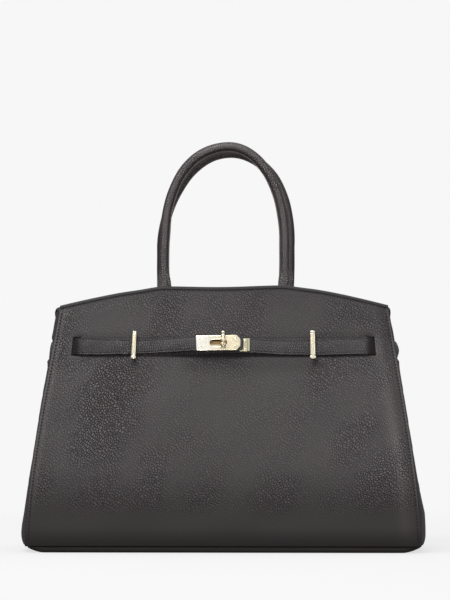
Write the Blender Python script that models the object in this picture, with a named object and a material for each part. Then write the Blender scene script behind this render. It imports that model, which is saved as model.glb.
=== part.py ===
"""Structured leather handbag with two rolled handles and a belt closed by a turn lock.

Metres. +Z is up, the front faces -Y, and the origin is the middle of the underside of the base.
The body is layers of sheet (leather, board, lining) that follow one set of shape formulas, so
a change of a size below moves every layer, the bindings and the hardware with it.
"""

import math

import bpy
import bmesh
import numpy as np
from mathutils import Vector

# Body
BODY_HEIGHT = 0.251
BOTTOM_HALF_WIDTH = 0.1862
TOP_HALF_WIDTH = 0.1555
SIDE_BELLY = 0.0038
BOTTOM_HALF_DEPTH = 0.076
TOP_HALF_DEPTH = 0.038
FACE_BELLY = 0.009
FOOT_ROLL = 0.004
FOOT_ROLL_HEIGHT = 0.018
EDGE_ROLL = 0.0025
EDGE_ROLL_START = 0.85
SHOULDER_START = 0.058
SHOULDER_DROP = 0.0186
SHOULDER_CURVE = 1.25

# Side gussets
GUSSET_BULGE_BOTTOM = 0.0088
GUSSET_BULGE_MIDDLE = 0.0042
GUSSET_BULGE_TOP = 0.0058
GUSSET_FOLD = 0.005
GUSSET_FOLD_WIDTH = 0.35
GUSSET_DIP = 0.012
DIP_CLEARANCE = 0.001
GUSSET_ROUND = 0.010
GUSSET_ROUND_HEIGHT = 0.016
SEAM_INSET = 0.001

# Layers, from the outside in
GAP = 0.0003
LEATHER = 0.0022
BOARD = 0.0018
LINING = 0.0012
LAYER_TRIM = 0.0070

# Base
BASE_EDGE_INSET = 0.0008
BASE_PANEL = 0.0054
BASE_BOARD = 0.0025
BASE_LIFT_LENGTH = 0.0182
BASE_FLAT_HALF_WIDTH = BOTTOM_HALF_WIDTH - BASE_LIFT_LENGTH
BASE_CORNER_ROUND = 0.003
BASE_INNER_EDGE = 0.0008
BASE_INNER_END = 0.0014
BASE_LIFT = 0.004
BASE_FRONT_ROUND = 0.003
BASE_END_INSET = 0.0026
BASE_LEAST = 0.001

# Bindings along the top edges
BINDING_WALL = 0.0009
BINDING_TOP = 0.001
BINDING_HEIGHT = 0.0030

# Handles
HANDLE_RADIUS = 0.005
HANDLE_Y = 0.0255
HANDLE_PIVOT_RISE = 0.005
FRONT_HALF_SPAN = 0.0575
FRONT_LEG = 0.040
FRONT_ARCH = 0.090
BACK_HALF_SPAN = 0.0620
BACK_LEG = 0.038
BACK_ARCH = 0.091
TAB_WIDTH = 0.022
TAB_THICKNESS = 0.003
TAB_DEPTH = 0.046

# Belt on the front panel
BELT_HEIGHT = 0.1939
BELT_THICKNESS = 0.0024
BELT_TAIL = 0.0014
BELT_HALF = 0.0072
BELT_HALF_AT_SLIT = 0.0083
SLIT_TO_SEAM = 0.0179
SLIT_WIDTH = 0.0064
SLIT_HALF = 0.010
TAIL_TO_SEAM = 0.0076
STRAP_EASE = 0.0004
BELT_RISE = 0.00125
TIP_ROUND = 0.0055
TIP_HALF = 0.0040
UNDER_TIP_ROUND = 0.003
UNDER_TIP_HALF = 0.0050
BELT_REST = 0.0004
UNDER_STRAP = 0.0016
OVER_STRAP = 0.0055
STRAP_TIP = 0.0189
UNDER_STRAP_END = 0.017

# Turn lock
PIVOT_UP = 0.0012
SHAFT_RADIUS = 0.0017
BUSH_RADIUS = 0.0025
BUSH_HOLE = 0.0020
FLANGE_RADIUS = 0.0060
PLATE_LEFT = -0.0255
PLATE_RIGHT = 0.0163
PLATE_HALF = 0.0073
PLATE_CHAMFER = 0.0035
PLATE_THICKNESS = 0.0010
SLOT_LEFT = -0.0124
SLOT_RIGHT = 0.0034
SLOT_HALF = 0.0032
RIM_WIDTH = 0.0011
RIM_RISE = 0.0005
LOWER_PLATE_LEFT = -0.0070
LOWER_PLATE_RIGHT = 0.0252
LOWER_PLATE_THICKNESS = 0.0009
LOWER_PLATE_HALF = 0.0070
LOWER_PLATE_LIP = 0.0007
LOWER_MIDDLE = -0.0003
OVER_RIVETS = (-0.0218, 0.0117)
UNDER_RIVETS = 0.0206
LEVER_OUT = 0.0126
LEVER_RADIUS = 0.0021
LEVER_FLAT = 0.0023
RIVET_HEAD = 0.00135
RIVET_SHANK = 0.00075
RIVET_UP = 0.0039

# Keepers over the belt
KEEPER_X = 0.0845
KEEPER_HALF = 0.0137
KEEPER_RADIUS = 0.0023
KEEPER_COLLAR = 0.0027
KEEPER_FLAT = 0.0020
KEEPER_OUT = 0.0053
KEEPER_POST = 0.0015
KEEPER_POST_UP = 0.0112
WASHER_THICKNESS = 0.0009

# Belt sections round the gussets
BAND_HEIGHT = 0.1915
BAND_HALF = 0.0085
BAND_THICKNESS = 0.0024
BAND_END_THICKNESS = 0.0012
LEFT_BAND_PRESS = 0.0026
RIGHT_BAND_PRESS = 0.0
BAND_PRESS_HEIGHT = 0.014

# Zip pocket on the back lining
POCKET_HEIGHT = 0.168
POCKET_HALF = 0.084
POCKET_OPENING = 0.0045
WELT_HALF_HEIGHT = 0.0095
WELT_THICKNESS = 0.0010
CHAIN_HALF = 0.0020
SLIDER_X = -0.070
SLIDER_HALF_LENGTH = 0.0045
SLIDER_HALF_WIDTH = 0.0033
PULL_LENGTH = 0.024
PULL_PIVOT_OUT = 0.0048
PULL_PIN = 0.0008

FRONT = -1
BACK = 1
LEFT = -1
RIGHT = 1
MM = 0.001


# Shape formulas. Heights and positions may be arrays.

def belly(part):
    """Swelling at this part of the height: 0 at both ends, 1 at its fullest."""
    part = np.clip(part, 0.0, 1.0)
    return part * (1 - part) ** 1.6 / 0.1765


CORNER_HEIGHT = BODY_HEIGHT - SHOULDER_DROP
PIVOT_HEIGHT = BODY_HEIGHT + HANDLE_PIVOT_RISE
PANEL_FOOT = BASE_PANEL + GAP
BASE_BOARD_TOP = PANEL_FOOT + BASE_BOARD
BASE_LINING_FOOT = BASE_BOARD_TOP + GAP
INNER_FOOT = BASE_LINING_FOOT + LINING + GAP
BOARD_INSET = LEATHER + GAP
LINING_INSET = BOARD_INSET + BOARD + GAP
INSIDE = LINING_INSET + LINING
GUSSET_LINING_INSET = LEATHER + GAP
GUSSET_INSIDE = GUSSET_LINING_INSET + LINING


def half_width(z):
    """Half the width of the front and back panels at a height."""
    part = np.clip(z / CORNER_HEIGHT, 0.0, 1.0)
    straight = BOTTOM_HALF_WIDTH + (TOP_HALF_WIDTH - BOTTOM_HALF_WIDTH) * part
    return straight + SIDE_BELLY * belly(part)


def half_depth(x, z):
    """Distance of a panel's outer surface from the middle plane."""
    part = z / BODY_HEIGHT
    straight = BOTTOM_HALF_DEPTH + (TOP_HALF_DEPTH - BOTTOM_HALF_DEPTH) * part
    foot = np.clip(1 - (z - PANEL_FOOT) / FOOT_ROLL_HEIGHT, 0.0, 1.0)
    across = np.abs(x) / half_width(z)
    edge = np.clip((across - EDGE_ROLL_START) / (1 - EDGE_ROLL_START), 0.0, 1.2)
    return straight + FACE_BELLY * belly(part) - FOOT_ROLL * foot**2 - EDGE_ROLL * edge**2


def face_slope(x, z):
    """How much longer a horizontal step through the panel is than its thickness."""
    step = 0.0005
    by_height = (half_depth(x, z + step) - half_depth(x, z - step)) / (2 * step)
    by_width = (half_depth(x + step, z) - half_depth(x - step, z)) / (2 * step)
    return np.sqrt(1 + by_height**2 + by_width**2)


def layer_y(side, x, z, inset):
    """Y of the layer this far inside the outer surface of the front or back panel."""
    return side * (half_depth(x, z) - inset * face_slope(x, z))


def top_edge(x):
    """Height of a panel's top edge: level in the middle, dropping to the corners."""
    out = np.clip((np.abs(x) - SHOULDER_START) / (TOP_HALF_WIDTH - SHOULDER_START), 0.0, 1.0)
    return BODY_HEIGHT - SHOULDER_DROP * out**SHOULDER_CURVE


def gusset_half_depth(z):
    """Where a gusset meets the inside of the panels' leather."""
    x = half_width(z) - SEAM_INSET
    return half_depth(x, z) - BOARD_INSET * face_slope(x, z)


def gusset_x(side, t, z):
    """Distance of a gusset's outer surface from the middle; t is -1 at the front seam, 1 at the back."""
    part = np.clip(z / CORNER_HEIGHT, 0.0, 1.0)
    low, middle, high = GUSSET_BULGE_BOTTOM, GUSSET_BULGE_MIDDLE, GUSSET_BULGE_TOP
    bulge = low + (4 * middle - 3 * low - high) * part + (2 * low + 2 * high - 4 * middle) * part**2
    fold = GUSSET_FOLD * np.clip(part - 0.25, 0.0, 1.0) * np.exp(-((t / GUSSET_FOLD_WIDTH) ** 2))
    press = LEFT_BAND_PRESS if side == LEFT else RIGHT_BAND_PRESS
    pressed = press * np.exp(-(((z - BAND_HEIGHT) / BAND_PRESS_HEIGHT) ** 4)) * (1 - t**4)
    low_part = np.clip(1 - z / GUSSET_ROUND_HEIGHT, 0.0, 1.0)
    under = GUSSET_ROUND * (1 - np.sqrt(1 - low_part**2))
    return half_width(z) - SEAM_INSET + bulge * (1 - t**4) - fold - pressed - under


def gusset_point(side, t, z, inset):
    """Points on the layer this far inside a gusset's outer surface."""
    step = 0.0005
    by_height = (gusset_x(side, t, z + step) - gusset_x(side, t, z - step)) / (2 * step)
    depth = gusset_half_depth(z)
    by_depth = (gusset_x(side, t + 0.01, z) - gusset_x(side, t - 0.01, z)) / (0.02 * depth)
    x = gusset_x(side, t, z) - inset * np.sqrt(1 + by_height**2 + by_depth**2)
    return np.stack([side * x, t * depth, z + 0 * x], -1)


def gusset_top(t):
    """Height of a gusset's top edge: just under the panels' bindings, dipping in the middle."""
    corner = CORNER_HEIGHT - BINDING_HEIGHT - GAP
    band_top = BAND_HEIGHT + BAND_HALF + BINDING_HEIGHT + DIP_CLEARANCE
    return corner - min(GUSSET_DIP, corner - band_top) * (1 - t**2) ** 1.5


# Building blocks

def paint(name, colour, roughness, metallic=0.0):
    """A material with one Principled shader."""
    material = bpy.data.materials.new(name)
    material.use_nodes = True
    shader = material.node_tree.nodes["Principled BSDF"]
    shader.inputs["Base Color"].default_value = (*colour, 1.0)
    shader.inputs["Roughness"].default_value = roughness
    shader.inputs["Metallic"].default_value = metallic
    material.diffuse_color = (*colour, 1.0)
    return material


def add_object(name, points, faces, material, origin=(0, 0, 0), smooth=False):
    """An object from points and faces, with its normals outward and its origin where asked."""
    origin = np.asarray(origin, float)
    mesh = bpy.data.meshes.new(name)
    mesh.from_pydata((np.asarray(points) - origin).tolist(), [], faces)
    shape = bmesh.new()
    shape.from_mesh(mesh)
    bmesh.ops.recalc_face_normals(shape, faces=shape.faces)
    shape.to_mesh(mesh)
    shape.free()
    obj = bpy.data.objects.new(name, mesh)
    obj.location = Vector(origin.tolist())
    bpy.context.scene.collection.objects.link(obj)
    if material is not None:
        mesh.materials.append(material)
    if smooth:
        mesh.shade_smooth()
        mesh.set_sharp_from_angle(angle=math.radians(40))
    return obj


def closed_sheet(name, outer, inner, material, smooth=True):
    """A sheet between two grids of points of one size, closed all round its rim."""
    rows, columns = outer.shape[:2]
    count = rows * columns
    number = np.arange(count).reshape(rows, columns)
    cells = np.stack([number[:-1, :-1], number[:-1, 1:], number[1:, 1:], number[1:, :-1]], -1)
    cells = cells.reshape(-1, 4)
    rim = np.concatenate([number[0], number[1:, -1], number[-1, -2::-1], number[-2:0:-1, 0]])
    ahead = np.roll(rim, -1)
    wall = np.stack([rim, ahead, ahead + count, rim + count], -1)
    points = np.concatenate([outer.reshape(-1, 3), inner.reshape(-1, 3)])
    faces = np.concatenate([cells, cells[:, ::-1] + count, wall]).tolist()
    return add_object(name, points, faces, material, smooth=smooth)


def swept(name, rings, material, origin=(0, 0, 0), smooth=False, loop=False):
    """A solid through rings of points, one ring after another, capped unless it closes on itself."""
    rings = np.asarray(rings, float)
    stations, around = rings.shape[:2]
    number = np.arange(stations * around).reshape(stations, around)
    near = number if loop else number[:-1]
    far = np.roll(number, -1, axis=0) if loop else number[1:]
    beside_near = np.roll(near, -1, axis=1)
    beside_far = np.roll(far, -1, axis=1)
    faces = np.stack([near, beside_near, beside_far, far], -1).reshape(-1, 4).tolist()
    if not loop:
        faces += [number[0].tolist(), number[-1].tolist()]
    return add_object(name, rings.reshape(-1, 3), faces, material, origin, smooth)


class Place:
    """A flat working frame on a panel: x to the right, up along the panel, out from it."""

    def __init__(self, side, height, inset, outward):
        step = 0.0005
        slope = (half_depth(0.0, height + step) - half_depth(0.0, height - step)) / (2 * step)
        length = math.hypot(1.0, slope)
        self.origin = np.array([0.0, float(layer_y(side, 0.0, height, inset)), height])
        self.up = np.array([0.0, side * slope, 1.0]) / length
        self.out = outward * np.array([0.0, side, -slope]) / length

    def at(self, x, up, out):
        """World points for distances to the right, up the panel and out of it."""
        x, up, out = np.broadcast_arrays(x, up, out)
        across = x[..., None] * np.array([1.0, 0.0, 0.0])
        return self.origin + across + up[..., None] * self.up + out[..., None] * self.out


def turned(name, place, profile, material, x=0.0, up=0.0, around=16, hollow=False, origin=(0, 0, 0)):
    """A round piece about the outward axis: profile holds (radius, distance out) pairs."""
    angle = np.arange(around) * 2 * math.pi / around
    radius, out = np.array(profile).T
    across = x + radius[:, None] * np.cos(angle)
    above = up + radius[:, None] * np.sin(angle)
    rings = place.at(across, above, out[:, None] + 0 * across)
    return swept(name, rings, material, origin, smooth=True, loop=hollow)


def pushed_in(outline, distance):
    """The outline of a convex shape moved inward by a distance."""
    outline = np.asarray(outline, float)
    after = np.roll(outline, -1, axis=0) - outline
    normal = np.stack([-after[:, 1], after[:, 0]], -1)
    normal /= np.linalg.norm(normal, axis=1)[:, None]
    before = np.roll(normal, 1, axis=0)
    both = before + normal
    both /= (1 + (before * normal).sum(1))[:, None]
    return outline + both * distance


def plate(name, place, outline, low, high, material, edge=0.0):
    """A flat plate on a working frame, its outer edge eased; the outline runs anticlockwise."""
    levels = [(0.0, low), (0.0, high - edge), (edge, high)] if edge else [(0.0, low), (0.0, high)]
    rings = []
    for inward, out in levels:
        shape = pushed_in(outline, inward) if inward else np.asarray(outline, float)
        rings.append(place.at(shape[:, 0], shape[:, 1], out + 0 * shape[:, 0]))
    return swept(name, rings, material)


def rectangle(left, right, low, high):
    return [(left, low), (right, low), (right, high), (left, high)]


def rounded(left, right, low, high, radius, steps=3):
    """A rectangle with round corners."""
    corners = [(right, high, 0), (left, high, 1), (left, low, 2), (right, low, 3)]
    outline = []
    for corner_x, corner_y, quarter in corners:
        centre_x = corner_x - radius if corner_x == right else corner_x + radius
        centre_y = corner_y - radius if corner_y == high else corner_y + radius
        for angle in np.linspace(quarter, quarter + 1, steps + 1) * math.pi / 2:
            outline.append((centre_x + radius * math.cos(angle), centre_y + radius * math.sin(angle)))
    return outline


def slot_outline(left, right, middle, half, steps=6):
    """A slot with round ends."""
    outline = []
    for centre, start in ((right - half, -90), (left + half, 90)):
        for angle in np.radians(np.linspace(start, start + 180, steps + 1)):
            outline.append((centre + half * math.cos(angle), middle + half * math.sin(angle)))
    return outline


def combine(target, helper, operation):
    """A Boolean with a hidden helper."""
    helper.hide_render = True
    helper.display_type = "WIRE"
    modifier = target.modifiers.new(helper.name, "BOOLEAN")
    modifier.operation = operation
    modifier.solver = "EXACT"
    modifier.object = helper


def cut(target, *helpers):
    for helper in helpers:
        combine(target, helper, "DIFFERENCE")


def join(target, *helpers):
    for helper in helpers:
        combine(target, helper, "UNION")


def hole(name, place, x, up, radius, low, high):
    """A round cutter through the layers between two distances."""
    return turned(name, place, [(radius, low), (radius, high)], None, x, up)


for leftover in list(bpy.data.objects):
    bpy.data.objects.remove(leftover, do_unlink=True)

BLACK_LEATHER = paint("black leather", (0.030, 0.029, 0.028), 0.55)
GOLD = paint("pale gold", (0.80, 0.66, 0.42), 0.22, 1.0)
GREY_BOARD = paint("grey board", (0.30, 0.29, 0.27), 0.9)
CLOTH = paint("taupe cloth", (0.17, 0.145, 0.125), 0.85)

belt_place = Place(FRONT, BELT_HEIGHT, 0.0, 1)
BELT_SEAM = float(half_width(BELT_HEIGHT))
SLIT_OUTER = BELT_SEAM - SLIT_TO_SEAM
SLIT_INNER = SLIT_OUTER - SLIT_WIDTH
pocket_place = Place(BACK, POCKET_HEIGHT, INSIDE, -1)

# Grids shared by the sheets
HALF_COLUMNS = [0.0, 0.25, SHOULDER_START / TOP_HALF_WIDTH, 0.5, 0.66, 0.82, 0.88, 0.94, 1.0]
COARSE_HALF = [0.0, SHOULDER_START / TOP_HALF_WIDTH, 0.56, 0.74, 0.86, 0.94, 1.0]
ROWS = np.array([0, 0.014, 0.03, 0.052, 0.085, 0.16, 0.27, 0.40, 0.54, 0.69, 0.83, 0.93, 1.0])


def both_halves(half):
    return np.concatenate([-np.array(half[:0:-1]), np.array(half)])


def face_grid(side, inset, foot, trim, half=HALF_COLUMNS):
    """A grid over one layer of the front or back: rows from the foot to just under the binding."""
    u = both_halves(half)
    top = top_edge(u * TOP_HALF_WIDTH) - BINDING_TOP - GAP
    z = INNER_FOOT + ROWS[:, None] * (top - INNER_FOOT)
    if foot < INNER_FOOT:
        z = np.concatenate([np.full((1, len(u)), foot), z])
    x = u * (half_width(z) - trim)
    return np.stack([x, layer_y(side, x, z, inset), z], -1)


def face_layer(name, side, inset, thickness, foot, trim, half, material):
    outer = face_grid(side, inset, foot, trim, half)
    inner = face_grid(side, inset + thickness, foot, trim, half)
    return closed_sheet(name, outer, inner, material)


GUSSET_T = np.array([-1, -0.92, -0.78, -0.58, -0.36, -0.16, 0.16, 0.36, 0.58, 0.78, 0.92, 1])
LEVEL_PARTS = np.array([0.056, 0.073, 0.112, 0.207, 0.344, 0.495, 0.637, 0.732])
BAND_PARTS = np.array([-1.59, -0.88, 0.0, 0.88, 1.59, 2.29])
LEAST_ROW = 0.002


def gusset_levels():
    """Heights of the rows below the dipped top edge, closer together round the belt section."""
    wanted = np.concatenate([LEVEL_PARTS * CORNER_HEIGHT, BAND_HEIGHT + BAND_PARTS * BAND_HALF])
    lowest_top = float(np.min(gusset_top(GUSSET_T))) - BINDING_TOP - GAP
    levels = [INNER_FOOT]
    for height in np.sort(wanted):
        if levels[-1] + LEAST_ROW < height < lowest_top - LEAST_ROW:
            levels.append(float(height))
    return levels


def gusset_layer(name, side, inset, thickness, foot, material):
    """One layer of a gusset, from its foot to just under its binding."""
    top = gusset_top(GUSSET_T) - BINDING_TOP - GAP
    levels = ([foot] if foot < INNER_FOOT else []) + gusset_levels()
    z = np.concatenate([np.array(levels)[:, None] + 0 * GUSSET_T, top[None, :]])
    t = GUSSET_T + 0 * z
    outer = gusset_point(side, t, z, inset)
    inner = gusset_point(side, t, z, inset + thickness)
    return closed_sheet(name, outer, inner, material)


# Front and back: leather, stiffening board, lining
front_panel = face_layer("front_panel", FRONT, 0, LEATHER, PANEL_FOOT, 0, HALF_COLUMNS, BLACK_LEATHER)
back_panel = face_layer("back_panel", BACK, 0, LEATHER, PANEL_FOOT, 0, HALF_COLUMNS, BLACK_LEATHER)
faces = {}
for side, word in ((FRONT, "front"), (BACK, "back")):
    faces[word + "_board"] = face_layer(
        word + "_board", side, BOARD_INSET, BOARD, INNER_FOOT, LAYER_TRIM, COARSE_HALF, GREY_BOARD
    )
    faces["lining_" + word] = face_layer(
        "lining_" + word, side, LINING_INSET, LINING, INNER_FOOT, LAYER_TRIM, COARSE_HALF, CLOTH
    )

# Gussets and their linings
for side, word in ((LEFT, "left"), (RIGHT, "right")):
    gusset_layer("gusset_" + word, side, 0, LEATHER, PANEL_FOOT, BLACK_LEATHER)
    gusset_layer("lining_" + word, side, GUSSET_LINING_INSET, LINING, INNER_FOOT, CLOTH)


# Base: a panel with lifted ends, a board and a lining inside
BASE_PARTS = np.array([-1, -0.985, -0.95, -0.8, -0.6, -0.3, 0, 0.3, 0.6, 0.8, 0.95, 0.985, 1])
END_PARTS = np.array([0.0, 0.3, 0.6, 0.85, 1.0])


def base_end(part, clearance, follow):
    """Half the base's width at a part of its depth, a little inside the foot of the gussets."""
    corner = np.clip((np.abs(part) - 0.9) / 0.1, 0, 1)
    t = np.clip(follow * part, -1, 1)
    return gusset_x(RIGHT, t, PANEL_FOOT) - clearance - BASE_CORNER_ROUND * corner**2


def base_grid(low, inset, clearance, flat, follow=1.04, underside=False):
    """A level grid over the base; the underside lifts at its ends and rounds at its long edges."""
    part = BASE_PARTS[:, None]
    end = base_end(part, clearance, follow)
    out = flat + END_PARTS * (end - flat)
    x = np.concatenate([-out[:, ::-1], out], axis=1)
    reach = half_depth(x, PANEL_FOOT) - inset
    y = part * reach
    lift = np.zeros_like(x)
    if underside:
        rise_part = np.clip((np.abs(x) - flat) / (end - flat), 0, 1)
        round_part = np.clip((np.abs(y) - reach + BASE_FRONT_ROUND) / BASE_FRONT_ROUND, 0, 1)
        rise = BASE_FRONT_ROUND * (1 - np.sqrt(1 - round_part**2))
        lift = np.minimum(BASE_LIFT * rise_part**2 + rise, BASE_PANEL - BASE_LEAST)
    return np.stack([x, y, low + lift], -1)


closed_sheet(
    "base_panel",
    base_grid(0.0, BASE_EDGE_INSET, BASE_END_INSET, BASE_FLAT_HALF_WIDTH, 0.93, underside=True),
    base_grid(BASE_PANEL, BASE_EDGE_INSET, BASE_END_INSET, BASE_FLAT_HALF_WIDTH, 0.93),
    BLACK_LEATHER,
    smooth=False,
)
inner_edge = LEATHER + BASE_INNER_EDGE
inner_end = LEATHER + BASE_INNER_END
inner_flat = BASE_FLAT_HALF_WIDTH - BASE_LIFT_LENGTH
for name, low, thick, material in (
    ("base_board", PANEL_FOOT, BASE_BOARD, GREY_BOARD),
    ("lining_base", BASE_LINING_FOOT, LINING, CLOTH),
):
    closed_sheet(
        name,
        base_grid(low, inner_edge, inner_end, inner_flat),
        base_grid(low + thick, inner_edge, inner_end, inner_flat),
        material,
        smooth=False,
    )


# Bindings: a folded strip over the top edges
def binding_section(inside):
    """(inset, drop below the top) pairs of a strip folded over sheets that end at this inset."""
    outside = -GAP - BINDING_WALL
    within = inside + GAP + BINDING_WALL
    ease = 0.7 * BINDING_WALL
    return [
        (outside, BINDING_HEIGHT),
        (outside, ease),
        (outside + ease, 0.0),
        (within - ease, 0.0),
        (within, ease),
        (within, BINDING_HEIGHT),
        (within - BINDING_WALL, BINDING_HEIGHT),
        (within - BINDING_WALL, BINDING_TOP),
        (-GAP, BINDING_TOP),
        (-GAP, BINDING_HEIGHT),
    ]


def face_binding(name, side):
    rings = []
    for u in both_halves(HALF_COLUMNS):
        x = u * TOP_HALF_WIDTH
        ring = []
        for inset, drop in binding_section(INSIDE):
            z = top_edge(x) - drop
            ring.append((x, layer_y(side, x, z, inset), z))
        rings.append(ring)
    return swept(name, rings, BLACK_LEATHER)


def gusset_binding(name, side):
    rings = []
    for t in GUSSET_T:
        ring = []
        for inset, drop in binding_section(GUSSET_INSIDE):
            ring.append(gusset_point(side, t, gusset_top(t) - drop, inset))
        rings.append(ring)
    return swept(name, rings, BLACK_LEATHER)


face_binding("binding_front", FRONT)
face_binding("binding_back", BACK)
gusset_binding("binding_left", LEFT)
gusset_binding("binding_right", RIGHT)


# Handles: a round tube bent to an arch, each foot ending in half a ball on the hinge axis
def handle_line(half_span, leg, arch):
    """Centre line as (x, height above the hinge axis), with its direction."""
    up = [(-half_span, leg * part) for part in (0.0, 0.33, 0.66)]
    angles = np.radians(np.linspace(180, 0, 25))
    over = [(half_span * math.cos(a), leg + arch * math.sin(a)) for a in angles]
    down = [(half_span, leg * part) for part in (0.66, 0.33, 0.0)]
    line = np.array(up + over + down)
    direction = np.gradient(line, axis=0)
    direction[:4] = (0, 1)
    direction[-4:] = (0, -1)
    return line, direction / np.linalg.norm(direction, axis=1)[:, None]


def handle(name, side, half_span, leg, arch, around=12):
    line, direction = handle_line(half_span, leg, arch)
    angle = np.arange(around) * 2 * math.pi / around
    rings = []
    for bend in (75, 52, 28):
        a = math.radians(bend)
        rings.append((line[0] - direction[0] * HANDLE_RADIUS * math.sin(a), direction[0], math.cos(a)))
    for point, way in zip(line, direction):
        rings.append((point, way, 1.0))
    for bend in (28, 52, 75):
        a = math.radians(bend)
        rings.append((line[-1] + direction[-1] * HANDLE_RADIUS * math.sin(a), direction[-1], math.cos(a)))
    y = side * HANDLE_Y
    points = []
    for (x, z), (way_x, way_z), size in rings:
        across = HANDLE_RADIUS * size * np.cos(angle)
        beside = HANDLE_RADIUS * size * np.sin(angle)
        points.append(
            np.stack([x + across * way_z, y + beside, PIVOT_HEIGHT + z - across * way_x], -1)
        )
    return swept(name, points, BLACK_LEATHER, origin=(0, y, PIVOT_HEIGHT), smooth=True)


def handle_tab(name, side, x, around=12):
    """A handle's fixed end: round at the mouth, flattening to a tongue along the lining."""
    top = PIVOT_HEIGHT - HANDLE_RADIUS - GAP
    angle = np.arange(around) * 2 * math.pi / around + math.pi / around
    rings = []
    for drop in (0.0, 0.003, 0.006, 0.009, 0.012, 0.015, 0.02, 0.032, TAB_DEPTH - 0.004, TAB_DEPTH):
        z = top - drop
        part = min(drop / 0.015, 1.0)
        part = part * part * (3 - 2 * part)
        wide = HANDLE_RADIUS * (1 - part) + TAB_WIDTH / 2 * part
        if drop == TAB_DEPTH:
            wide *= 0.75
        thick = HANDLE_RADIUS * (1 - part) + TAB_THICKNESS / 2 * part
        against = abs(float(layer_y(side, x, z, INSIDE + GAP))) - TAB_THICKNESS / 2 - GAP
        y = HANDLE_Y * (1 - part) + against * part
        square = 1 - 0.5 * part
        across = wide * np.sign(np.cos(angle)) * np.abs(np.cos(angle)) ** square
        beside = thick * np.sign(np.sin(angle)) * np.abs(np.sin(angle)) ** square
        rings.append(np.stack([x + across, side * y + beside, z + 0 * across], -1))
    return swept(name, rings, BLACK_LEATHER, smooth=True)


for side, word, half_span, leg, arch in (
    (FRONT, "front", FRONT_HALF_SPAN, FRONT_LEG, FRONT_ARCH),
    (BACK, "back", BACK_HALF_SPAN, BACK_LEG, BACK_ARCH),
):
    handle("handle_" + word, side, half_span, leg, arch)
    handle_tab("handle_tab_" + word + "_left", side, -half_span)
    handle_tab("handle_tab_" + word + "_right", side, half_span)


# Belt: two straps that come out of slits in the front panel and meet at the lock
def edge_drop(x):
    """How far the panel has rolled back at this distance from the middle."""
    return float(half_depth(0.0, BELT_HEIGHT) - half_depth(x, BELT_HEIGHT))


def strap(name, side, stations):
    """A strap with eased edges through (x, underside, thickness, half height, middle) stations."""
    ease = STRAP_EASE
    rings = []
    for x, low, thick, half, middle in stations:
        high = low + thick
        ups = [half - ease, half, half, half - ease, ease - half, -half, -half, ease - half]
        outs = [low, low + ease, high - ease, high, high, high - ease, low + ease, low]
        rings.append(belt_place.at(side * x, middle + np.array(ups), np.array(outs)))
    return swept(name, rings, BLACK_LEATHER)


tail_low = -(LEATHER + GAP + BELT_TAIL)
tail_end = BELT_SEAM - TAIL_TO_SEAM
tail_bend = (tail_end + SLIT_OUTER) / 2


def belt_half(part):
    """Half the strap's height: BELT_HALF at part 0, and as wide as it is at its slit at part 1."""
    return BELT_HALF + part * (BELT_HALF_AT_SLIT - BELT_HALF)


tail_stations = [
    (tail_end, tail_low - edge_drop(tail_end), BELT_TAIL, belt_half(0.7), 0.0),
    (tail_bend, tail_low - edge_drop(tail_bend), BELT_TAIL, BELT_HALF_AT_SLIT, 0.0),
    (SLIT_OUTER, tail_low, BELT_TAIL, BELT_HALF_AT_SLIT, 0.0),
    (SLIT_INNER, BELT_REST, 0.67 * BELT_THICKNESS, BELT_HALF_AT_SLIT, 0.0),
]
for part, widened in ((0.954, 0.7), (0.86, 0.36), (0.714, 0.0), (0.539, 0.0)):
    tail_stations.append((part * SLIT_INNER, BELT_REST, BELT_THICKNESS, belt_half(widened), 0.0))

left_stations = list(tail_stations)
for part, lifted in ((0.437, 0.16), (0.335, 0.42), (0.248, 0.76), (0.189, 0.98), (0.131, 1.0)):
    rise = BELT_RISE * lifted**0.7
    left_stations.append((part * SLIT_INNER, OVER_STRAP * lifted, BELT_THICKNESS, BELT_HALF, rise))
left_stations += [
    (-STRAP_TIP + TIP_ROUND, OVER_STRAP, BELT_THICKNESS, BELT_HALF, BELT_RISE),
    (-STRAP_TIP + TIP_ROUND / 3, OVER_STRAP, BELT_THICKNESS, 0.3 * TIP_HALF + 0.7 * BELT_HALF, BELT_RISE),
    (-STRAP_TIP, OVER_STRAP, BELT_THICKNESS, TIP_HALF, BELT_RISE),
]
belt_left = strap("belt_left", LEFT, left_stations)

right_stations = list(tail_stations)
for part, lifted in ((0.422, 0.31), (0.306, 0.62), (0.219, 0.94), (0.16, 1.0)):
    right_stations.append((part * SLIT_INNER, UNDER_STRAP * lifted, BELT_THICKNESS, BELT_HALF, 0.0))
right_stations += [
    (-UNDER_STRAP_END + UNDER_TIP_ROUND, UNDER_STRAP, BELT_THICKNESS, BELT_HALF, 0.0),
    (-UNDER_STRAP_END, UNDER_STRAP, BELT_THICKNESS, UNDER_TIP_HALF, 0.0),
]
belt_right = strap("belt_right", RIGHT, right_stations)

# Lock plates: the lower one on the right strap, the upper one on the left strap
lower_low = UNDER_STRAP + BELT_THICKNESS + GAP
lower_high = lower_low + LOWER_PLATE_THICKNESS
lip_high = lower_high + LOWER_PLATE_LIP
upper_low = OVER_STRAP + BELT_THICKNESS + GAP
upper_high = upper_low + PLATE_THICKNESS
rim_high = upper_high + RIM_RISE
UPPER_MIDDLE = BELT_RISE


def lower_ring(x, high, half):
    ups = LOWER_MIDDLE + np.array([-half, half, half, -half])
    return belt_place.at(x, ups, np.array([lower_low, lower_low, high, high]))


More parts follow.
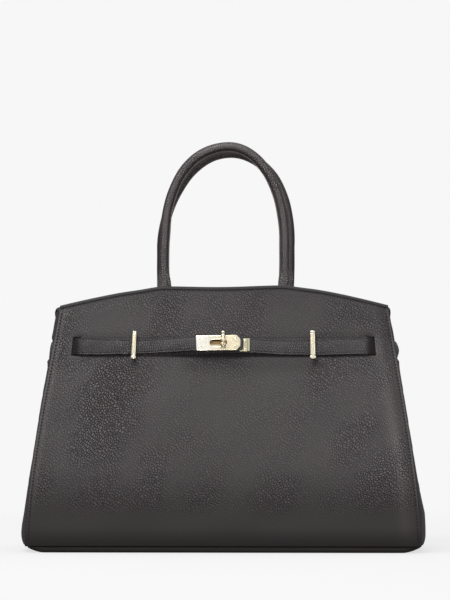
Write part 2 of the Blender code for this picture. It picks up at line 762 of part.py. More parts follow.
lower_plate = swept(
    "belt_plate_under",
    [
        lower_ring(LOWER_PLATE_LEFT, lower_high, 0.71 * LOWER_PLATE_HALF),
        lower_ring(LOWER_PLATE_LEFT + 2.9 * LOWER_PLATE_LIP, lower_high, LOWER_PLATE_HALF),
        lower_ring(LOWER_PLATE_RIGHT - 3.3 * LOWER_PLATE_LIP, lower_high, LOWER_PLATE_HALF),
        lower_ring(LOWER_PLATE_RIGHT - 2.7 * LOWER_PLATE_LIP, lip_high, LOWER_PLATE_HALF),
        lower_ring(LOWER_PLATE_RIGHT - 0.6 * LOWER_PLATE_LIP, lip_high, LOWER_PLATE_HALF),
        lower_ring(LOWER_PLATE_RIGHT, lower_high + 0.4 * LOWER_PLATE_LIP, 0.96 * LOWER_PLATE_HALF),
    ],
    GOLD,
)

plate_low_edge = UPPER_MIDDLE - PLATE_HALF
plate_high_edge = UPPER_MIDDLE + PLATE_HALF
upper_outline = [
    (PLATE_LEFT + 0.0008, plate_low_edge),
    (PLATE_RIGHT - PLATE_CHAMFER, plate_low_edge),
    (PLATE_RIGHT, plate_low_edge + PLATE_CHAMFER),
    (PLATE_RIGHT, plate_high_edge - PLATE_CHAMFER),
    (PLATE_RIGHT - PLATE_CHAMFER, plate_high_edge),
    (PLATE_LEFT + 0.0008, plate_high_edge),
    (PLATE_LEFT, plate_high_edge - 0.0008),
    (PLATE_LEFT, plate_low_edge + 0.0008),
]
upper_plate = plate("belt_plate_over", belt_place, upper_outline, upper_low, upper_high, GOLD, 0.0002)
rim = plate(
    "lock rim",
    belt_place,
    slot_outline(SLOT_LEFT - RIM_WIDTH, SLOT_RIGHT + RIM_WIDTH, PIVOT_UP, SLOT_HALF + RIM_WIDTH),
    upper_high - 0.0004,
    rim_high,
    None,
    0.0002,
)
slot = plate(
    "lock slot",
    belt_place,
    slot_outline(SLOT_LEFT, SLOT_RIGHT, PIVOT_UP, SLOT_HALF),
    OVER_STRAP - 0.0005,
    rim_high + 0.001,
    None,
)
join(upper_plate, rim)
cut(upper_plate, slot)
cut(belt_left, slot)

# Rivets: four through the upper plate, two through the lower plate's free end
rivet_number = 0
rivet_places = [(x, up, "over") for x in OVER_RIVETS for up in (RIVET_UP, -RIVET_UP)]
rivet_places += [(UNDER_RIVETS, up, "under") for up in (RIVET_UP, -RIVET_UP)]
for x, up, which in rivet_places:
    rivet_number += 1
    over = which == "over"
    top = upper_high if over else lower_high
    shank_end = (OVER_STRAP if over else UNDER_STRAP) + 0.0004
    middle = UPPER_MIDDLE if over else LOWER_MIDDLE
    head = top + 0.0002
    turned(
        "belt_rivet_" + str(rivet_number),
        belt_place,
        [
            (RIVET_SHANK, shank_end),
            (RIVET_SHANK, head),
            (RIVET_HEAD, head),
            (RIVET_HEAD * 0.92, head + 0.0003),
            (RIVET_HEAD * 0.45, head + 0.0006),
        ],
        GOLD,
        x,
        middle + up,
        around=12,
    )
    cutter = hole(
        "rivet hole " + str(rivet_number),
        belt_place,
        x,
        middle + up,
        RIVET_SHANK + GAP,
        shank_end - 0.0006,
        top + 0.001,
    )
    cut(upper_plate if over else lower_plate, cutter)
    cut(belt_left if over else belt_right, cutter)

# Lock: a bush through the panel, a shaft with a lever that turns in it, a clip behind the leather
BUSH_INNER_END = -LEATHER - 0.0002
BUSH_OUTER_END = rim_high + 0.0001
turned(
    "lock_bush",
    belt_place,
    [
        (BUSH_HOLE, BUSH_INNER_END),
        (BUSH_RADIUS, BUSH_INNER_END),
        (BUSH_RADIUS, GAP),
        (FLANGE_RADIUS, GAP),
        (FLANGE_RADIUS, UNDER_STRAP - GAP),
        (BUSH_RADIUS, UNDER_STRAP - GAP),
        (BUSH_RADIUS, BUSH_OUTER_END),
        (BUSH_HOLE, BUSH_OUTER_END),
    ],
    GOLD,
    0.0,
    PIVOT_UP,
    around=20,
    hollow=True,
)
clip_low = BUSH_INNER_END - GAP - 0.0008
turned(
    "lock_clip",
    belt_place,
    [
        (0.0015, clip_low),
        (0.0042, clip_low),
        (0.0042, clip_low + 0.0008),
        (0.0015, clip_low + 0.0008),
    ],
    GOLD,
    0.0,
    PIVOT_UP,
    around=16,
    hollow=True,
)
toggle_origin = belt_place.at(np.array(0.0), np.array(PIVOT_UP), np.array(LEVER_OUT))
lock_toggle = turned(
    "lock_toggle",
    belt_place,
    [
        (SHAFT_RADIUS, clip_low - 0.0007),
        (SHAFT_RADIUS, clip_low - GAP),
        (0.0012, clip_low - GAP),
        (0.0012, clip_low + 0.0011),
        (SHAFT_RADIUS, clip_low + 0.0011),
        (SHAFT_RADIUS, BUSH_OUTER_END + GAP),
        (0.0024, BUSH_OUTER_END + GAP),
        (0.0024, LEVER_OUT),
        (0.0012, LEVER_OUT + 0.0012),
    ],
    GOLD,
    0.0,
    PIVOT_UP,
    around=16,
    origin=toggle_origin,
)
lever_profile = [
    (-5.0, 1.0), (-4.5, 2.1), (-3.6, 2.8), (-2.4, 3.05), (-1.2, 2.7), (-0.4, 2.0), (0.0, 1.85),
    (0.5, 2.1), (2.2, 2.15), (3.4, 2.05), (3.7, 1.5), (4.1, 1.5), (4.4, 2.05), (7.2, 1.95),
    (7.6, 1.35), (8.1, 1.35), (8.5, 1.85), (9.4, 2.0), (10.2, 1.5), (10.6, 0.6),
]
lever_rings = []
lever_angle = np.arange(12) * 2 * math.pi / 12
for up, radius in lever_profile:
    flat = min(radius * MM, LEVER_FLAT)
    lever_rings.append(
        belt_place.at(
            radius * MM * np.cos(lever_angle),
            PIVOT_UP + up * MM + 0 * lever_angle,
            LEVER_OUT + flat * np.sin(lever_angle),
        )
    )
lever = swept("lever", lever_rings, None, smooth=True)
join(lock_toggle, lever)

# Keepers: a turned bar over the strap, two posts through the panel, a washer behind it
keeper_profile = [
    (-KEEPER_HALF, 0.37 * KEEPER_COLLAR), (-0.956 * KEEPER_HALF, 0.78 * KEEPER_COLLAR),
    (-0.898 * KEEPER_HALF, KEEPER_COLLAR), (-0.774 * KEEPER_HALF, KEEPER_COLLAR),
    (-0.737 * KEEPER_HALF, KEEPER_RADIUS), (0.737 * KEEPER_HALF, KEEPER_RADIUS),
    (0.774 * KEEPER_HALF, KEEPER_COLLAR), (0.898 * KEEPER_HALF, KEEPER_COLLAR),
    (0.956 * KEEPER_HALF, 0.78 * KEEPER_COLLAR), (KEEPER_HALF, 0.37 * KEEPER_COLLAR),
]
keeper_angle = np.arange(12) * 2 * math.pi / 12
window_reach = 0.0004
panel_cutters = []
board_cutters = []
for side, word in ((LEFT, "left"), (RIGHT, "right")):
    x = side * KEEPER_X
    rings = []
    for up, radius in keeper_profile:
        flat = min(radius, KEEPER_FLAT)
        rings.append(
            belt_place.at(
                x + radius * np.cos(keeper_angle),
                up + 0 * keeper_angle,
                KEEPER_OUT + flat * np.sin(keeper_angle),
            )
        )
    keeper = swept("keeper_" + word, rings, GOLD, smooth=True)
    for up, end in ((KEEPER_POST_UP, "top"), (-KEEPER_POST_UP, "bottom")):
        join(keeper, hole("post " + word + " " + end, belt_place, x, up, KEEPER_POST, -LEATHER, KEEPER_OUT))
        panel_cutters.append(
            hole("post hole " + word + " " + end, belt_place, x, up, KEEPER_POST + GAP, -0.004, 0.002)
        )
    plate(
        "keeper_washer_" + word,
        belt_place,
        rounded(x - 0.0032, x + 0.0032, -0.0137, 0.0137, 0.0025),
        -LEATHER - GAP - WASHER_THICKNESS,
        -LEATHER - GAP,
        GOLD,
    )
    board_cutters.append(
        plate(
            "washer window " + word,
            belt_place,
            rectangle(x - 0.0040, x + 0.0040, -0.0146, 0.0146),
            -0.007,
            0.0,
            None,
        )
    )
    low_x, high_x = sorted((side * SLIT_INNER, side * SLIT_OUTER))
    panel_cutters.append(
        plate(
            "slit " + word,
            belt_place,
            rectangle(low_x, high_x, -SLIT_HALF, SLIT_HALF),
            -0.0036,
            0.003,
            None,
        )
    )
    low_x, high_x = sorted((side * (SLIT_INNER - 0.002), side * (tail_end + 0.001)))
    board_cutters.append(
        plate(
            "tail window " + word,
            belt_place,
            rectangle(low_x, high_x, -0.0095, 0.0095),
            -0.008,
            0.0,
            None,
        )
    )
panel_cutters.append(hole("bush hole", belt_place, 0.0, PIVOT_UP, BUSH_RADIUS + GAP, -0.005, 0.003))
board_cutters.append(hole("clip window", belt_place, 0.0, PIVOT_UP, 0.0055, -0.008, 0.0))
cut(front_panel, *panel_cutters)
cut(faces["front_board"], *board_cutters)
strap_hole = hole("strap hole", belt_place, 0.0, PIVOT_UP, BUSH_RADIUS + GAP, 0.0010, lower_high + 0.001)
cut(belt_right, strap_hole)
cut(lower_plate, strap_hole)

# Belt sections round the gussets, from seam to seam
BAND_T = np.array([-0.985, -0.92, -0.78, -0.58, -0.36, -0.16, 0.16, 0.36, 0.58, 0.78, 0.92, 0.985])
BAND_UP = np.array([-1.0, -0.88, 0.0, 0.88, 1.0])
for side, word in ((LEFT, "left"), (RIGHT, "right")):
    z = BAND_HEIGHT + BAND_UP[:, None] * BAND_HALF + 0 * BAND_T
    t = BAND_T + 0 * z
    end = np.clip((1 - np.abs(t)) / 0.25, 0, 1)
    thick = BAND_END_THICKNESS + (BAND_THICKNESS - BAND_END_THICKNESS) * end
    edge = np.where(np.abs(BAND_UP[:, None]) == 1.0, 0.45, 1.0) + 0 * t
    inner = gusset_point(side, t, z, -GAP - 0.0001)
    outer = gusset_point(side, t, z, -GAP - thick * edge)
    closed_sheet("side_belt_" + word, outer, inner, BLACK_LEATHER)

# Zip pocket: a welt round a window in the back lining, the closed zip in it, a slider and a pull
pocket_opening = rectangle(-POCKET_HALF, POCKET_HALF, -POCKET_OPENING, POCKET_OPENING)
cut(
    faces["lining_back"],
    plate("lining window", pocket_place, pocket_opening, -LINING - 0.0001, 0.001, None),
)
tape_half = POCKET_OPENING - GAP
tape_ups = np.array([-tape_half, tape_half, tape_half, CHAIN_HALF, 0.7 * CHAIN_HALF])
tape_ups = np.concatenate([tape_ups, [-0.7 * CHAIN_HALF, -CHAIN_HALF, -tape_half]])
tape_outs = MM * np.array([-1.0, -1.0, -0.2, -0.2, 0.9, 0.9, -0.2, -0.2])
tape_end = POCKET_HALF - GAP
swept(
    "zip_tape",
    [pocket_place.at(x, tape_ups, tape_outs) for x in (-tape_end, tape_end)],
    GOLD,
)
welt = plate(
    "pocket_welt",
    pocket_place,
    rounded(-POCKET_HALF - 0.005, POCKET_HALF + 0.005, -WELT_HALF_HEIGHT, WELT_HALF_HEIGHT, 0.004),
    GAP,
    GAP + WELT_THICKNESS,
    BLACK_LEATHER,
    0.0003,
)
cut(
    welt,
    plate(
        "welt opening",
        pocket_place,
        rectangle(-POCKET_HALF, POCKET_HALF, -0.0039, 0.0039),
        -0.001,
        0.003,
        None,
    ),
)
slider_section = MM * np.array(
    [(-3.3, 0.2), (-2.4, 0.2), (-2.4, 1.25), (2.4, 1.25), (2.4, 0.2), (3.3, 0.2), (3.3, 2.6), (2.7, 3.1),
     (-2.7, 3.1), (-3.3, 2.6)]
)
slider_origin = pocket_place.at(np.array(SLIDER_X), np.array(0.0), np.array(0.002))
slider = swept(
    "zip_slider",
    [
        pocket_place.at(SLIDER_X + x, slider_section[:, 0] * size, slider_section[:, 1])
        for x, size in ((-SLIDER_HALF_LENGTH, 0.94), (-0.0035, 1.0), (0.0035, 1.0), (SLIDER_HALF_LENGTH, 0.94))
    ],
    GOLD,
    origin=slider_origin,
)


def across_ring(x, radius, around=12):
    """A ring round the pull's pin axis."""
    angle = np.arange(around) * 2 * math.pi / around
    return pocket_place.at(x, radius * np.sin(angle), PULL_PIVOT_OUT + radius * np.cos(angle))


for side, word in ((LEFT, "left"), (RIGHT, "right")):
    lug_x = sorted((SLIDER_X + side * 0.0018, SLIDER_X + side * 0.0030))
    lug = plate(
        "lug " + word,
        pocket_place,
        rectangle(lug_x[0], lug_x[1], -0.0019, 0.0019),
        0.0028,
        PULL_PIVOT_OUT + 0.0019,
        None,
        0.0004,
    )
    join(slider, lug)
pin_hole = swept(
    "pin hole",
    [across_ring(SLIDER_X - 0.005, PULL_PIN + GAP), across_ring(SLIDER_X + 0.005, PULL_PIN + GAP)],
    None,
)
cut(slider, pin_hole)

# The pull hangs straight down from its pin
pull_pin = pocket_place.at(np.array(SLIDER_X), np.array(0.0), np.array(PULL_PIVOT_OUT))
pull = swept(
    "zip_pull",
    [across_ring(SLIDER_X - 0.0029, PULL_PIN), across_ring(SLIDER_X + 0.0029, PULL_PIN)],
    GOLD,
    origin=pull_pin,
    smooth=True,
)
pull_rings = []
for drop, half, thick in (
    (0.0, 0.0012, 0.0006), (0.0046, 0.0012, 0.0006), (0.0062, 0.0024, 0.0006),
    (PULL_LENGTH - 0.003, 0.0030, 0.0006), (PULL_LENGTH - 0.001, 0.0026, 0.0006),
    (PULL_LENGTH, 0.0016, 0.0005),
):
    corners = ((-half, -thick), (half, -thick), (half, thick), (-half, thick))
    pull_rings.append(
        [(pull_pin[0] + x, pull_pin[1] + y, pull_pin[2] - drop) for x, y in corners]
    )
join(pull, swept("pull tab", pull_rings, None))
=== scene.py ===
# %% [markdown]
# # A structured leather handbag with a turn-lock belt
#
# The bag in the photograph is black pebbled leather: a trapezoid body, two rolled handles, a belt that
# comes out of two slits and closes over a gold plate with a turned lever. The imported part already holds
# the plain solids and the joints. This script dresses them: each leather piece is made again as a finer
# surface around its solid, with seams and stitches, and each finish is a small network of nodes.
#
# The frame comes first, because every new piece is placed by it.

# %% Load the imported part
import math

import bmesh
import bpy
import numpy as np
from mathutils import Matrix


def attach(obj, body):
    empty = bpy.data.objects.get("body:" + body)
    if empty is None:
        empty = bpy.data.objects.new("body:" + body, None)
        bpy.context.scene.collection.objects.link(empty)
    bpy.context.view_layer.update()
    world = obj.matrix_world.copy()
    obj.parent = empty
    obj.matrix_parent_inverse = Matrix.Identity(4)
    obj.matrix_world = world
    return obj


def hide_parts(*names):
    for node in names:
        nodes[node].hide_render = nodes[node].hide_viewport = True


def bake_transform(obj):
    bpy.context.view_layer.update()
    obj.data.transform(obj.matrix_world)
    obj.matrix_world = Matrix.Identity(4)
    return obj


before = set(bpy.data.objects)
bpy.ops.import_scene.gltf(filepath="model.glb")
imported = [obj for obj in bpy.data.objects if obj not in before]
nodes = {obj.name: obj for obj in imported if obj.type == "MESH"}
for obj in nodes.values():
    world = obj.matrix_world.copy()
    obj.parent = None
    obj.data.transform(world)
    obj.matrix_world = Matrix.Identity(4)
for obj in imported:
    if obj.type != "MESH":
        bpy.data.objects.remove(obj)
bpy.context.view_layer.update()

MM = 0.001

# %% [markdown]
# ## The camera
#
# A product photograph is taken from far away with a long lens, so that the sides hardly converge. Here
# the camera stands 2.58 m from the bag's middle, 143 mm above the floor, a little to the right, and looks
# up by two degrees. The lens and the pitch were worked out from the widths and heights in the picture.

# %% Camera
CAMERA_DISTANCE = 2.575
CAMERA_HEIGHT = 0.143
CAMERA_TURN = math.radians(1.7)
CAMERA_PITCH = math.radians(2.15)
LENS = 160.0

camera_data = bpy.data.cameras.new("camera")
camera_data.lens = LENS
camera_data.sensor_width = 36.0
camera = bpy.data.objects.new("camera", camera_data)
camera.location = (
    CAMERA_DISTANCE * math.sin(CAMERA_TURN),
    -CAMERA_DISTANCE * math.cos(CAMERA_TURN),
    CAMERA_HEIGHT,
)
camera.rotation_euler = (math.radians(90) + CAMERA_PITCH, 0.0, CAMERA_TURN)
bpy.context.scene.collection.objects.link(camera)
bpy.context.scene.camera = camera
bpy.context.scene.view_settings.view_transform = "Standard"
print("camera at", [round(value, 3) for value in camera.location])

# %% [markdown]
# ## Shader maths in plain Python
#
# A finish such as leather grain is a sum of patterns. Wiring that by hand is hard to read, so one small
# class wraps a socket and lets Python's own signs add the nodes: `height * 0.3 + 1` becomes two Math
# nodes. Sums on colours and positions become Vector Math nodes, because a Math node turns a colour grey.

# %% Wires between sockets
class Wire:
    """One output socket. Arithmetic with wires, numbers or triples adds the nodes for it."""

    def __init__(self, finish, socket):
        self.finish = finish
        self.socket = socket

    def combine(self, operation, first, second):
        """A Math node, or a Vector Math node where one side is a colour, a position or a triple."""
        settings = {"operation": operation}
        kinds = [side.socket.type if isinstance(side, Wire) else type(side) for side in (first, second)]
        if not {"VECTOR", "RGBA", tuple}.intersection(kinds):
            return self.finish.node("ShaderNodeMath", settings, {0: first, 1: second})
        first, second = ((side,) * 3 if isinstance(side, (int, float)) else side for side in (first, second))
        return self.finish.node("ShaderNodeVectorMath", settings, {0: first, 1: second})

    def __add__(self, other):
        return self.combine("ADD", self, other)

    def __radd__(self, other):
        return self.combine("ADD", other, self)

    def __sub__(self, other):
        return self.combine("SUBTRACT", self, other)

    def __rsub__(self, other):
        return self.combine("SUBTRACT", other, self)

    def __mul__(self, other):
        return self.combine("MULTIPLY", self, other)

    def __rmul__(self, other):
        return self.combine("MULTIPLY", other, self)

    def clipped(self, low, high):
        """0 up to low, 1 from high, and a soft step between them."""
        ends = {"From Min": low, "From Max": high}
        settings = {"interpolation_type": "SMOOTHSTEP"}
        return self.finish.node("ShaderNodeMapRange", settings, {"Value": self, **ends})


class Finish:
    """A material with one Principled shader, and one method that adds any other node."""

    def __init__(self, name, colour, roughness, metallic=0.0, **constants):
        self.material = bpy.data.materials.new(name)
        self.material.use_nodes = True
        self.tree = self.material.node_tree
        self.shader = self.tree.nodes["Principled BSDF"]
        self.shader.inputs["Base Color"].default_value = (*colour, 1.0)
        self.shader.inputs["Roughness"].default_value = roughness
        self.shader.inputs["Metallic"].default_value = metallic
        for socket, value in constants.items():
            self.shader.inputs[socket.replace("_", " ")].default_value = value
        self.material.diffuse_color = (*colour, 1.0)

    def node(self, kind, settings=None, values=None, output=0):
        """Adds a node, sets it up, fills its sockets with numbers or wires and returns one output."""
        made = self.tree.nodes.new(kind)
        for key, value in (settings or {}).items():
            setattr(made, key, value)
        for key, value in (values or {}).items():
            socket = made.inputs[key]
            if isinstance(value, Wire):
                self.tree.links.new(value.socket, socket)
            elif isinstance(value, tuple) and len(value) == 3 and socket.type == "RGBA":
                socket.default_value = (*value, 1.0)
            else:
                socket.default_value = value
        return Wire(self, made.outputs[output])

    def place(self):
        """A point's place on the piece, in metres."""
        return self.node("ShaderNodeTexCoord", output="Object")

    def sheet_place(self):
        """The piece's own UV map, laid out in metres, for grain that follows the surface."""
        return self.node("ShaderNodeUVMap", {"uv_map": "metres"})

    def attribute(self, name):
        """One of the piece's own masks."""
        return self.node("ShaderNodeAttribute", {"attribute_name": name}, output="Fac")

    def noise(self, place, size, detail=2.0, output=0):
        """Cloudy noise between 0 and 1 whose patches are about this many metres across."""
        values = {"Vector": place, "Scale": 1.0 / size, "Detail": detail}
        return self.node("ShaderNodeTexNoise", None, values, output)

    def cells(self, place, size):
        """Distance to the nearest cell border on a flat sheet, for cells about this many metres across."""
        settings = {"voronoi_dimensions": "2D", "feature": "DISTANCE_TO_EDGE"}
        values = {"Vector": place, "Scale": 1.0 / size, "Randomness": 0.9}
        return self.node("ShaderNodeTexVoronoi", settings, values, "Distance")

    def mix(self, factor, first, second):
        """A colour between two colours."""
        values = {0: factor, 6: first, 7: second}
        return self.node("ShaderNodeMix", {"data_type": "RGBA"}, values, 2)

    def drive(self, socket, wire):
        """Feeds a wire into a socket of the Principled shader."""
        self.tree.links.new(wire.socket, self.shader.inputs[socket])

    def bump(self, height, distance):
        """Tilts the shading as if the surface rose by height times distance."""
        values = {"Height": height, "Distance": distance, "Strength": 1.0}
        self.drive("Normal", self.node("ShaderNodeBump", None, values, "Normal"))


print("wires ready")

# %% [markdown]
# ## The leather
#
# Pebbled leather is a field of small flat domes with creases between them. Voronoi cells give the domes:
# the distance to the nearest cell border is zero in the creases and grows towards the middle of a pebble.
# A little noise bends the cells first, because real pebbles are never straight-sided, and a second, finer
# bump of hair pores lies on top. The hide isn't the same all over: where it was pulled tight over a board
# or pressed along a seam the grain is nearly flat. The pieces carry three masks: `calm` flattens the
# grain, a painted-shade mask darkens grooves, folds and places where shadow falls, and a painted-highlight
# mask lightens rims and swells where light catches them.

# %% Leather finishes
CHARCOAL = (0.0466, 0.0405, 0.0413)
DARKEST, LIGHTEST = 0.15, 2.8
MIDDLE_TONE = 0.33
PAINTED_SHADE_SHARES = (0.20, 0.14, 0.145)
PATCH_SIZE, CLOUD_SIZE = 0.05, 0.03
GRAIN_SLANT = math.radians(38)


def scaled(colour, factor):
    """A colour times one factor, or times one factor for each channel."""
    return tuple(np.multiply(colour, factor).tolist())


def leather(name, colour, pebble, depth, roughness, contrast, squeeze=0.82, slant=0.0):
    """Pebbled leather: pebbles this many metres across, standing this many metres proud. The pattern is
    squeezed one way, which makes the pebbles longer, and slant turns that way on the sheet."""
    finish = Finish(name, colour, roughness, IOR=1.42)
    calm, shade, wear = (finish.attribute(mask) for mask in ("calm", "shade", "wear"))
    turned = {"Vector": finish.sheet_place(), "Angle": slant}
    place = finish.node("ShaderNodeVectorRotate", {"rotation_type": "Z_AXIS"}, turned) * (1.0, squeeze, 1.0)
    sway = finish.noise(place, pebble * 4.0, 1.0, "Color") - 0.5
    domes = finish.cells(place + sway * (pebble * 1.3), pebble).clipped(0.0, 0.38)
    hair = finish.noise(place, pebble * 0.16, 2.0)
    patches = finish.noise(place, PATCH_SIZE, 2.0).clipped(0.38, 0.64)
    lively = (patches * 0.65 + 0.35) * (1.0 - calm)
    finish.bump(domes * lively + hair * 0.06, depth)
    clouds = finish.noise(place, CLOUD_SIZE, 3.0) - 0.5
    # tone holds the grain and the painted highlight; painted shade then darkens it to a warm dark
    tone = MIDDLE_TONE + (domes - 0.50) * lively * contrast + clouds * 0.16 + wear * 0.5
    toned = finish.mix(tone, scaled(colour, DARKEST), scaled(colour, LIGHTEST))
    finish.drive("Base Color", finish.mix(shade, toned, scaled(colour, PAINTED_SHADE_SHARES)))
    finish.drive("Roughness", roughness + clouds * 0.12 - wear * 0.14 + shade * 0.25)
    return finish.material


# the handle leather is the charcoal painted 2.3 times lighter, a painted highlight for the light the handles
# catch, and the binding leather is painted darker, a painted shade against the light on its top
bag_leather = leather("pebbled black leather", CHARCOAL, 0.0019, 0.00036, 0.50, 1.25, 0.66, GRAIN_SLANT)
strap_leather = leather("strap leather", scaled(CHARCOAL, 0.60), 0.0020, 0.00030, 0.44, 1.5)
handle_leather = leather("rolled handle leather", scaled(CHARCOAL, 2.3), 0.0020, 0.00025, 0.38, 0.9, 0.5)
edge_leather = leather("smooth binding leather", scaled(CHARCOAL, 0.34), 0.0012, 0.00006, 0.60, 0.5)
print("leather finishes made")

# %% [markdown]
# ## Thread, cloth and board
#
# The thread is waxed black nylon: two plies twisted round each other, which shows as fine slanting lines.
# The lining is a closely woven cloth. Its warp and weft are two sine waves at right angles, and a thread
# is high where it passes over the other one. The board that stiffens the walls is pressed fibre.

# %% Thread, cloth and board finishes
def bands(finish, place, direction, scale, **values):
    """Even stripes between 0 and 1 across one direction."""
    settings = {"wave_type": "BANDS", "bands_direction": direction}
    return finish.node("ShaderNodeTexWave", settings, {"Vector": place, "Scale": scale, **values}, "Fac")


def waxed_thread():
    """Two plies, seen as fine slanting lines."""
    finish = Finish("waxed black thread", (0.005, 0.0048, 0.0048), 0.6)
    plies = bands(finish, finish.place(), "DIAGONAL", 700.0, Distortion=0.6)
    finish.bump(plies, 0.00006)
    finish.drive("Roughness", plies * 0.15 + 0.55)
    return finish.material


def woven_cloth(name, colour, thread):
    """Plain weave on the piece's own sheet coordinates, with threads this many metres apart."""
    finish = Finish(name, colour, 0.82)
    place = finish.sheet_place()
    warp, weft = (bands(finish, place, way, 0.31 / thread, Distortion=0.5, Detail=1.0) for way in "XY")
    over = warp * (1.0 - weft) + weft * (1.0 - warp)
    finish.bump(over, 0.00012)
    slubs = finish.noise(place * (1.0, 7.0, 1.0), 0.02, 3.0)
    cloth = finish.mix(over * 0.6 + slubs * 0.4, scaled(colour, 0.62), scaled(colour, 1.3))
    # painted shade darkens the cloth where its mask is high
    finish.drive("Base Color", finish.mix(finish.attribute("shade"), cloth, scaled(colour, 0.3)))
    return finish.material


def fibre_board():
    """Pressed fibre: level streaks of two greys."""
    finish = Finish("grey fibre board", (0.30, 0.29, 0.27), 0.9)
    fibres = finish.noise(finish.place() * (1.0, 1.0, 4.0), 0.003, 5.0)
    finish.drive("Base Color", finish.mix(fibres, (0.22, 0.21, 0.19), (0.38, 0.37, 0.34)))
    finish.bump(fibres, 0.0001)
    return finish.material


thread = waxed_thread()
lining_cloth = woven_cloth("taupe lining cloth", (0.17, 0.145, 0.125), 0.0006)
tape_cloth = woven_cloth("black zip tape", (0.022, 0.021, 0.020), 0.0005)
board = fibre_board()
print("thread, cloth and board made")

# %% [markdown]
# ## Pale gold
#
# The hardware is plated in a pale, slightly green champagne gold. A perfect mirror would look like glass,
# so the plating is a little uneven: a slow bump bends the reflections, fine scratches and handling marks
# change the gloss, and the colour warms slightly where the plating is thin. Painted shade turns it brown in
# slots, grooves and along shaded edges, and a painted highlight turns it pale where it catches the light.

# %% Gold finishes
THIN_PLATING = (0.93, 0.86, 0.74)
PAINTED_HIGHLIGHT_GOLD = (0.93, 0.92, 0.86)
PAINTED_SHADE_GOLD = (0.26, 0.15, 0.05)


def plated_gold(name, colour, roughness, wobble=0.00012):
    """Plated metal whose slow dents are this many metres deep."""
    finish = Finish(name, colour, roughness, 1.0)
    place = finish.place()
    dents = finish.noise(place, 0.014, 1.0)
    scratches = finish.noise(place * (1.0, 1.0, 0.12), 0.0008, 2.0)
    handling = finish.noise(place, 0.012, 2.0).clipped(0.35, 0.75)
    finish.bump(dents, wobble)
    clean = finish.mix(handling, colour, scaled(colour, THIN_PLATING))
    # a painted highlight turns the colour pale, and painted shade turns it brown
    plating = finish.mix(finish.attribute("wear"), clean, PAINTED_HIGHLIGHT_GOLD)
    finish.drive("Base Color", finish.mix(finish.attribute("shade"), plating, PAINTED_SHADE_GOLD))
    finish.drive("Roughness", handling * 0.12 + scratches * 0.03 + (roughness - 0.06))
    return finish.material


gold = plated_gold("pale gold plating", (0.84, 0.79, 0.63), 0.24)
# a darker copy of the gold, painted in shade, for the lower plate
gold_shaded = plated_gold("worn gold plating", (0.46, 0.43, 0.30), 0.32)
gold_bright = plated_gold("polished pale gold", (0.86, 0.80, 0.62), 0.14, 0.00004)
print("gold finishes made")

# %% [markdown]
# ## Floor, backdrop and light
#
# The photograph has a plain white ground with a faint shadow close to the bag. The floor is a quiet grey
# surface that takes the shadow, and it glows by itself only for the camera and for reflections, so the
# white doesn't light the bag from below. The further from the bag, the more the glow takes over, until the
# floor and the world meet without a line. Four soft boxes light the bag from the front, above and a side.

# %% Floor
WHITE = 0.93
FLOOR_GREY = 0.20
FLOOR_GLOW = 0.69
FADE_START, FADE_END = 0.30, 1.10


def ground(size, z):
    """A level square about the origin."""
    corners = [(-size, -size, z), (size, -size, z), (size, size, z), (-size, size, z)]
    mesh = bpy.data.meshes.new("floor")
    mesh.from_pydata(corners, [], [(0, 1, 2, 3)])
    obj = bpy.data.objects.new("floor", mesh)
    bpy.context.scene.collection.objects.link(obj)
    return obj


def rays(finish):
    """Three switches: rays of the camera, rays of reflections and rays through glass."""
    camera_ray = finish.node("ShaderNodeLightPath", output="Is Camera Ray")
    outputs = camera_ray.socket.node.outputs
    return camera_ray, Wire(finish, outputs["Is Glossy Ray"]), Wire(finish, outputs["Is Transmission Ray"])


def floor_finish():
    """Grey that takes shadows near the bag, and fades into an even glow further out."""
    finish = Finish("pale floor", (FLOOR_GREY,) * 3, 0.9)
    place = finish.place() * (1.0, 1.0, 0.0)
    reach = finish.node("ShaderNodeVectorMath", {"operation": "LENGTH"}, {0: place}, "Value")
    far = reach.clipped(FADE_START, FADE_END)
    finish.drive("Base Color", finish.mix(far, (FLOOR_GREY,) * 3, (0.0, 0.0, 0.0)))
    glow = finish.mix(far, (FLOOR_GLOW,) * 3, (WHITE,) * 3)
    camera_ray, mirrored, through = rays(finish)
    shown = (camera_ray + through).clipped(0.0, 1.0) + mirrored * 0.3
    finish.drive("Emission Color", glow * shown)
    finish.shader.inputs["Emission Strength"].default_value = 1.0
    finish.shader.inputs["Specular IOR Level"].default_value = 0.0
    return finish.material


floor = ground(6.0, -0.0002)
floor.data.materials.append(floor_finish())
print("floor laid")

# %% [markdown]
# The world has two jobs. What the camera sees of it is plain white. What the bag's surfaces reflect of it
# is a room that is bright overhead and dim towards the ground, as a studio is, so that the leather keeps
# its dark foot and the metal its shaded lower edges, which painted shade deepens further. The same
# gradient, weaker, is the soft general light.

# %% World and soft boxes
ROOM_ABOVE, ROOM_BELOW = 0.92, 0.10
AMBIENT_ABOVE, AMBIENT_BELOW = 0.55, 0.0


class WorldTree(Finish):
    """The world's nodes, filled with the same helper."""

    def __init__(self, world):
        world.use_nodes = True
        self.tree = world.node_tree


world = bpy.data.worlds.new("studio")
bpy.context.scene.world = world
sky = WorldTree(world)
direction = sky.node("ShaderNodeTexCoord", output="Generated")
height = sky.node("ShaderNodeSeparateXYZ", None, {0: direction}, "Z")
camera_ray, mirrored, through = rays(sky)
room = height.clipped(-0.10, 0.60) * (ROOM_ABOVE - ROOM_BELOW) + ROOM_BELOW
ambient = height.clipped(-0.20, 0.60) * (AMBIENT_ABOVE - AMBIENT_BELOW) + AMBIENT_BELOW
direct = (camera_ray + through).clipped(0.0, 1.0)
strength = direct * WHITE + mirrored * room + (1.0 - direct) * (1.0 - mirrored) * ambient
backdrop = sky.tree.nodes["Background"]
backdrop.inputs["Color"].default_value = (1.0, 1.0, 1.0, 1.0)
sky.tree.links.new(strength.socket, backdrop.inputs["Strength"])


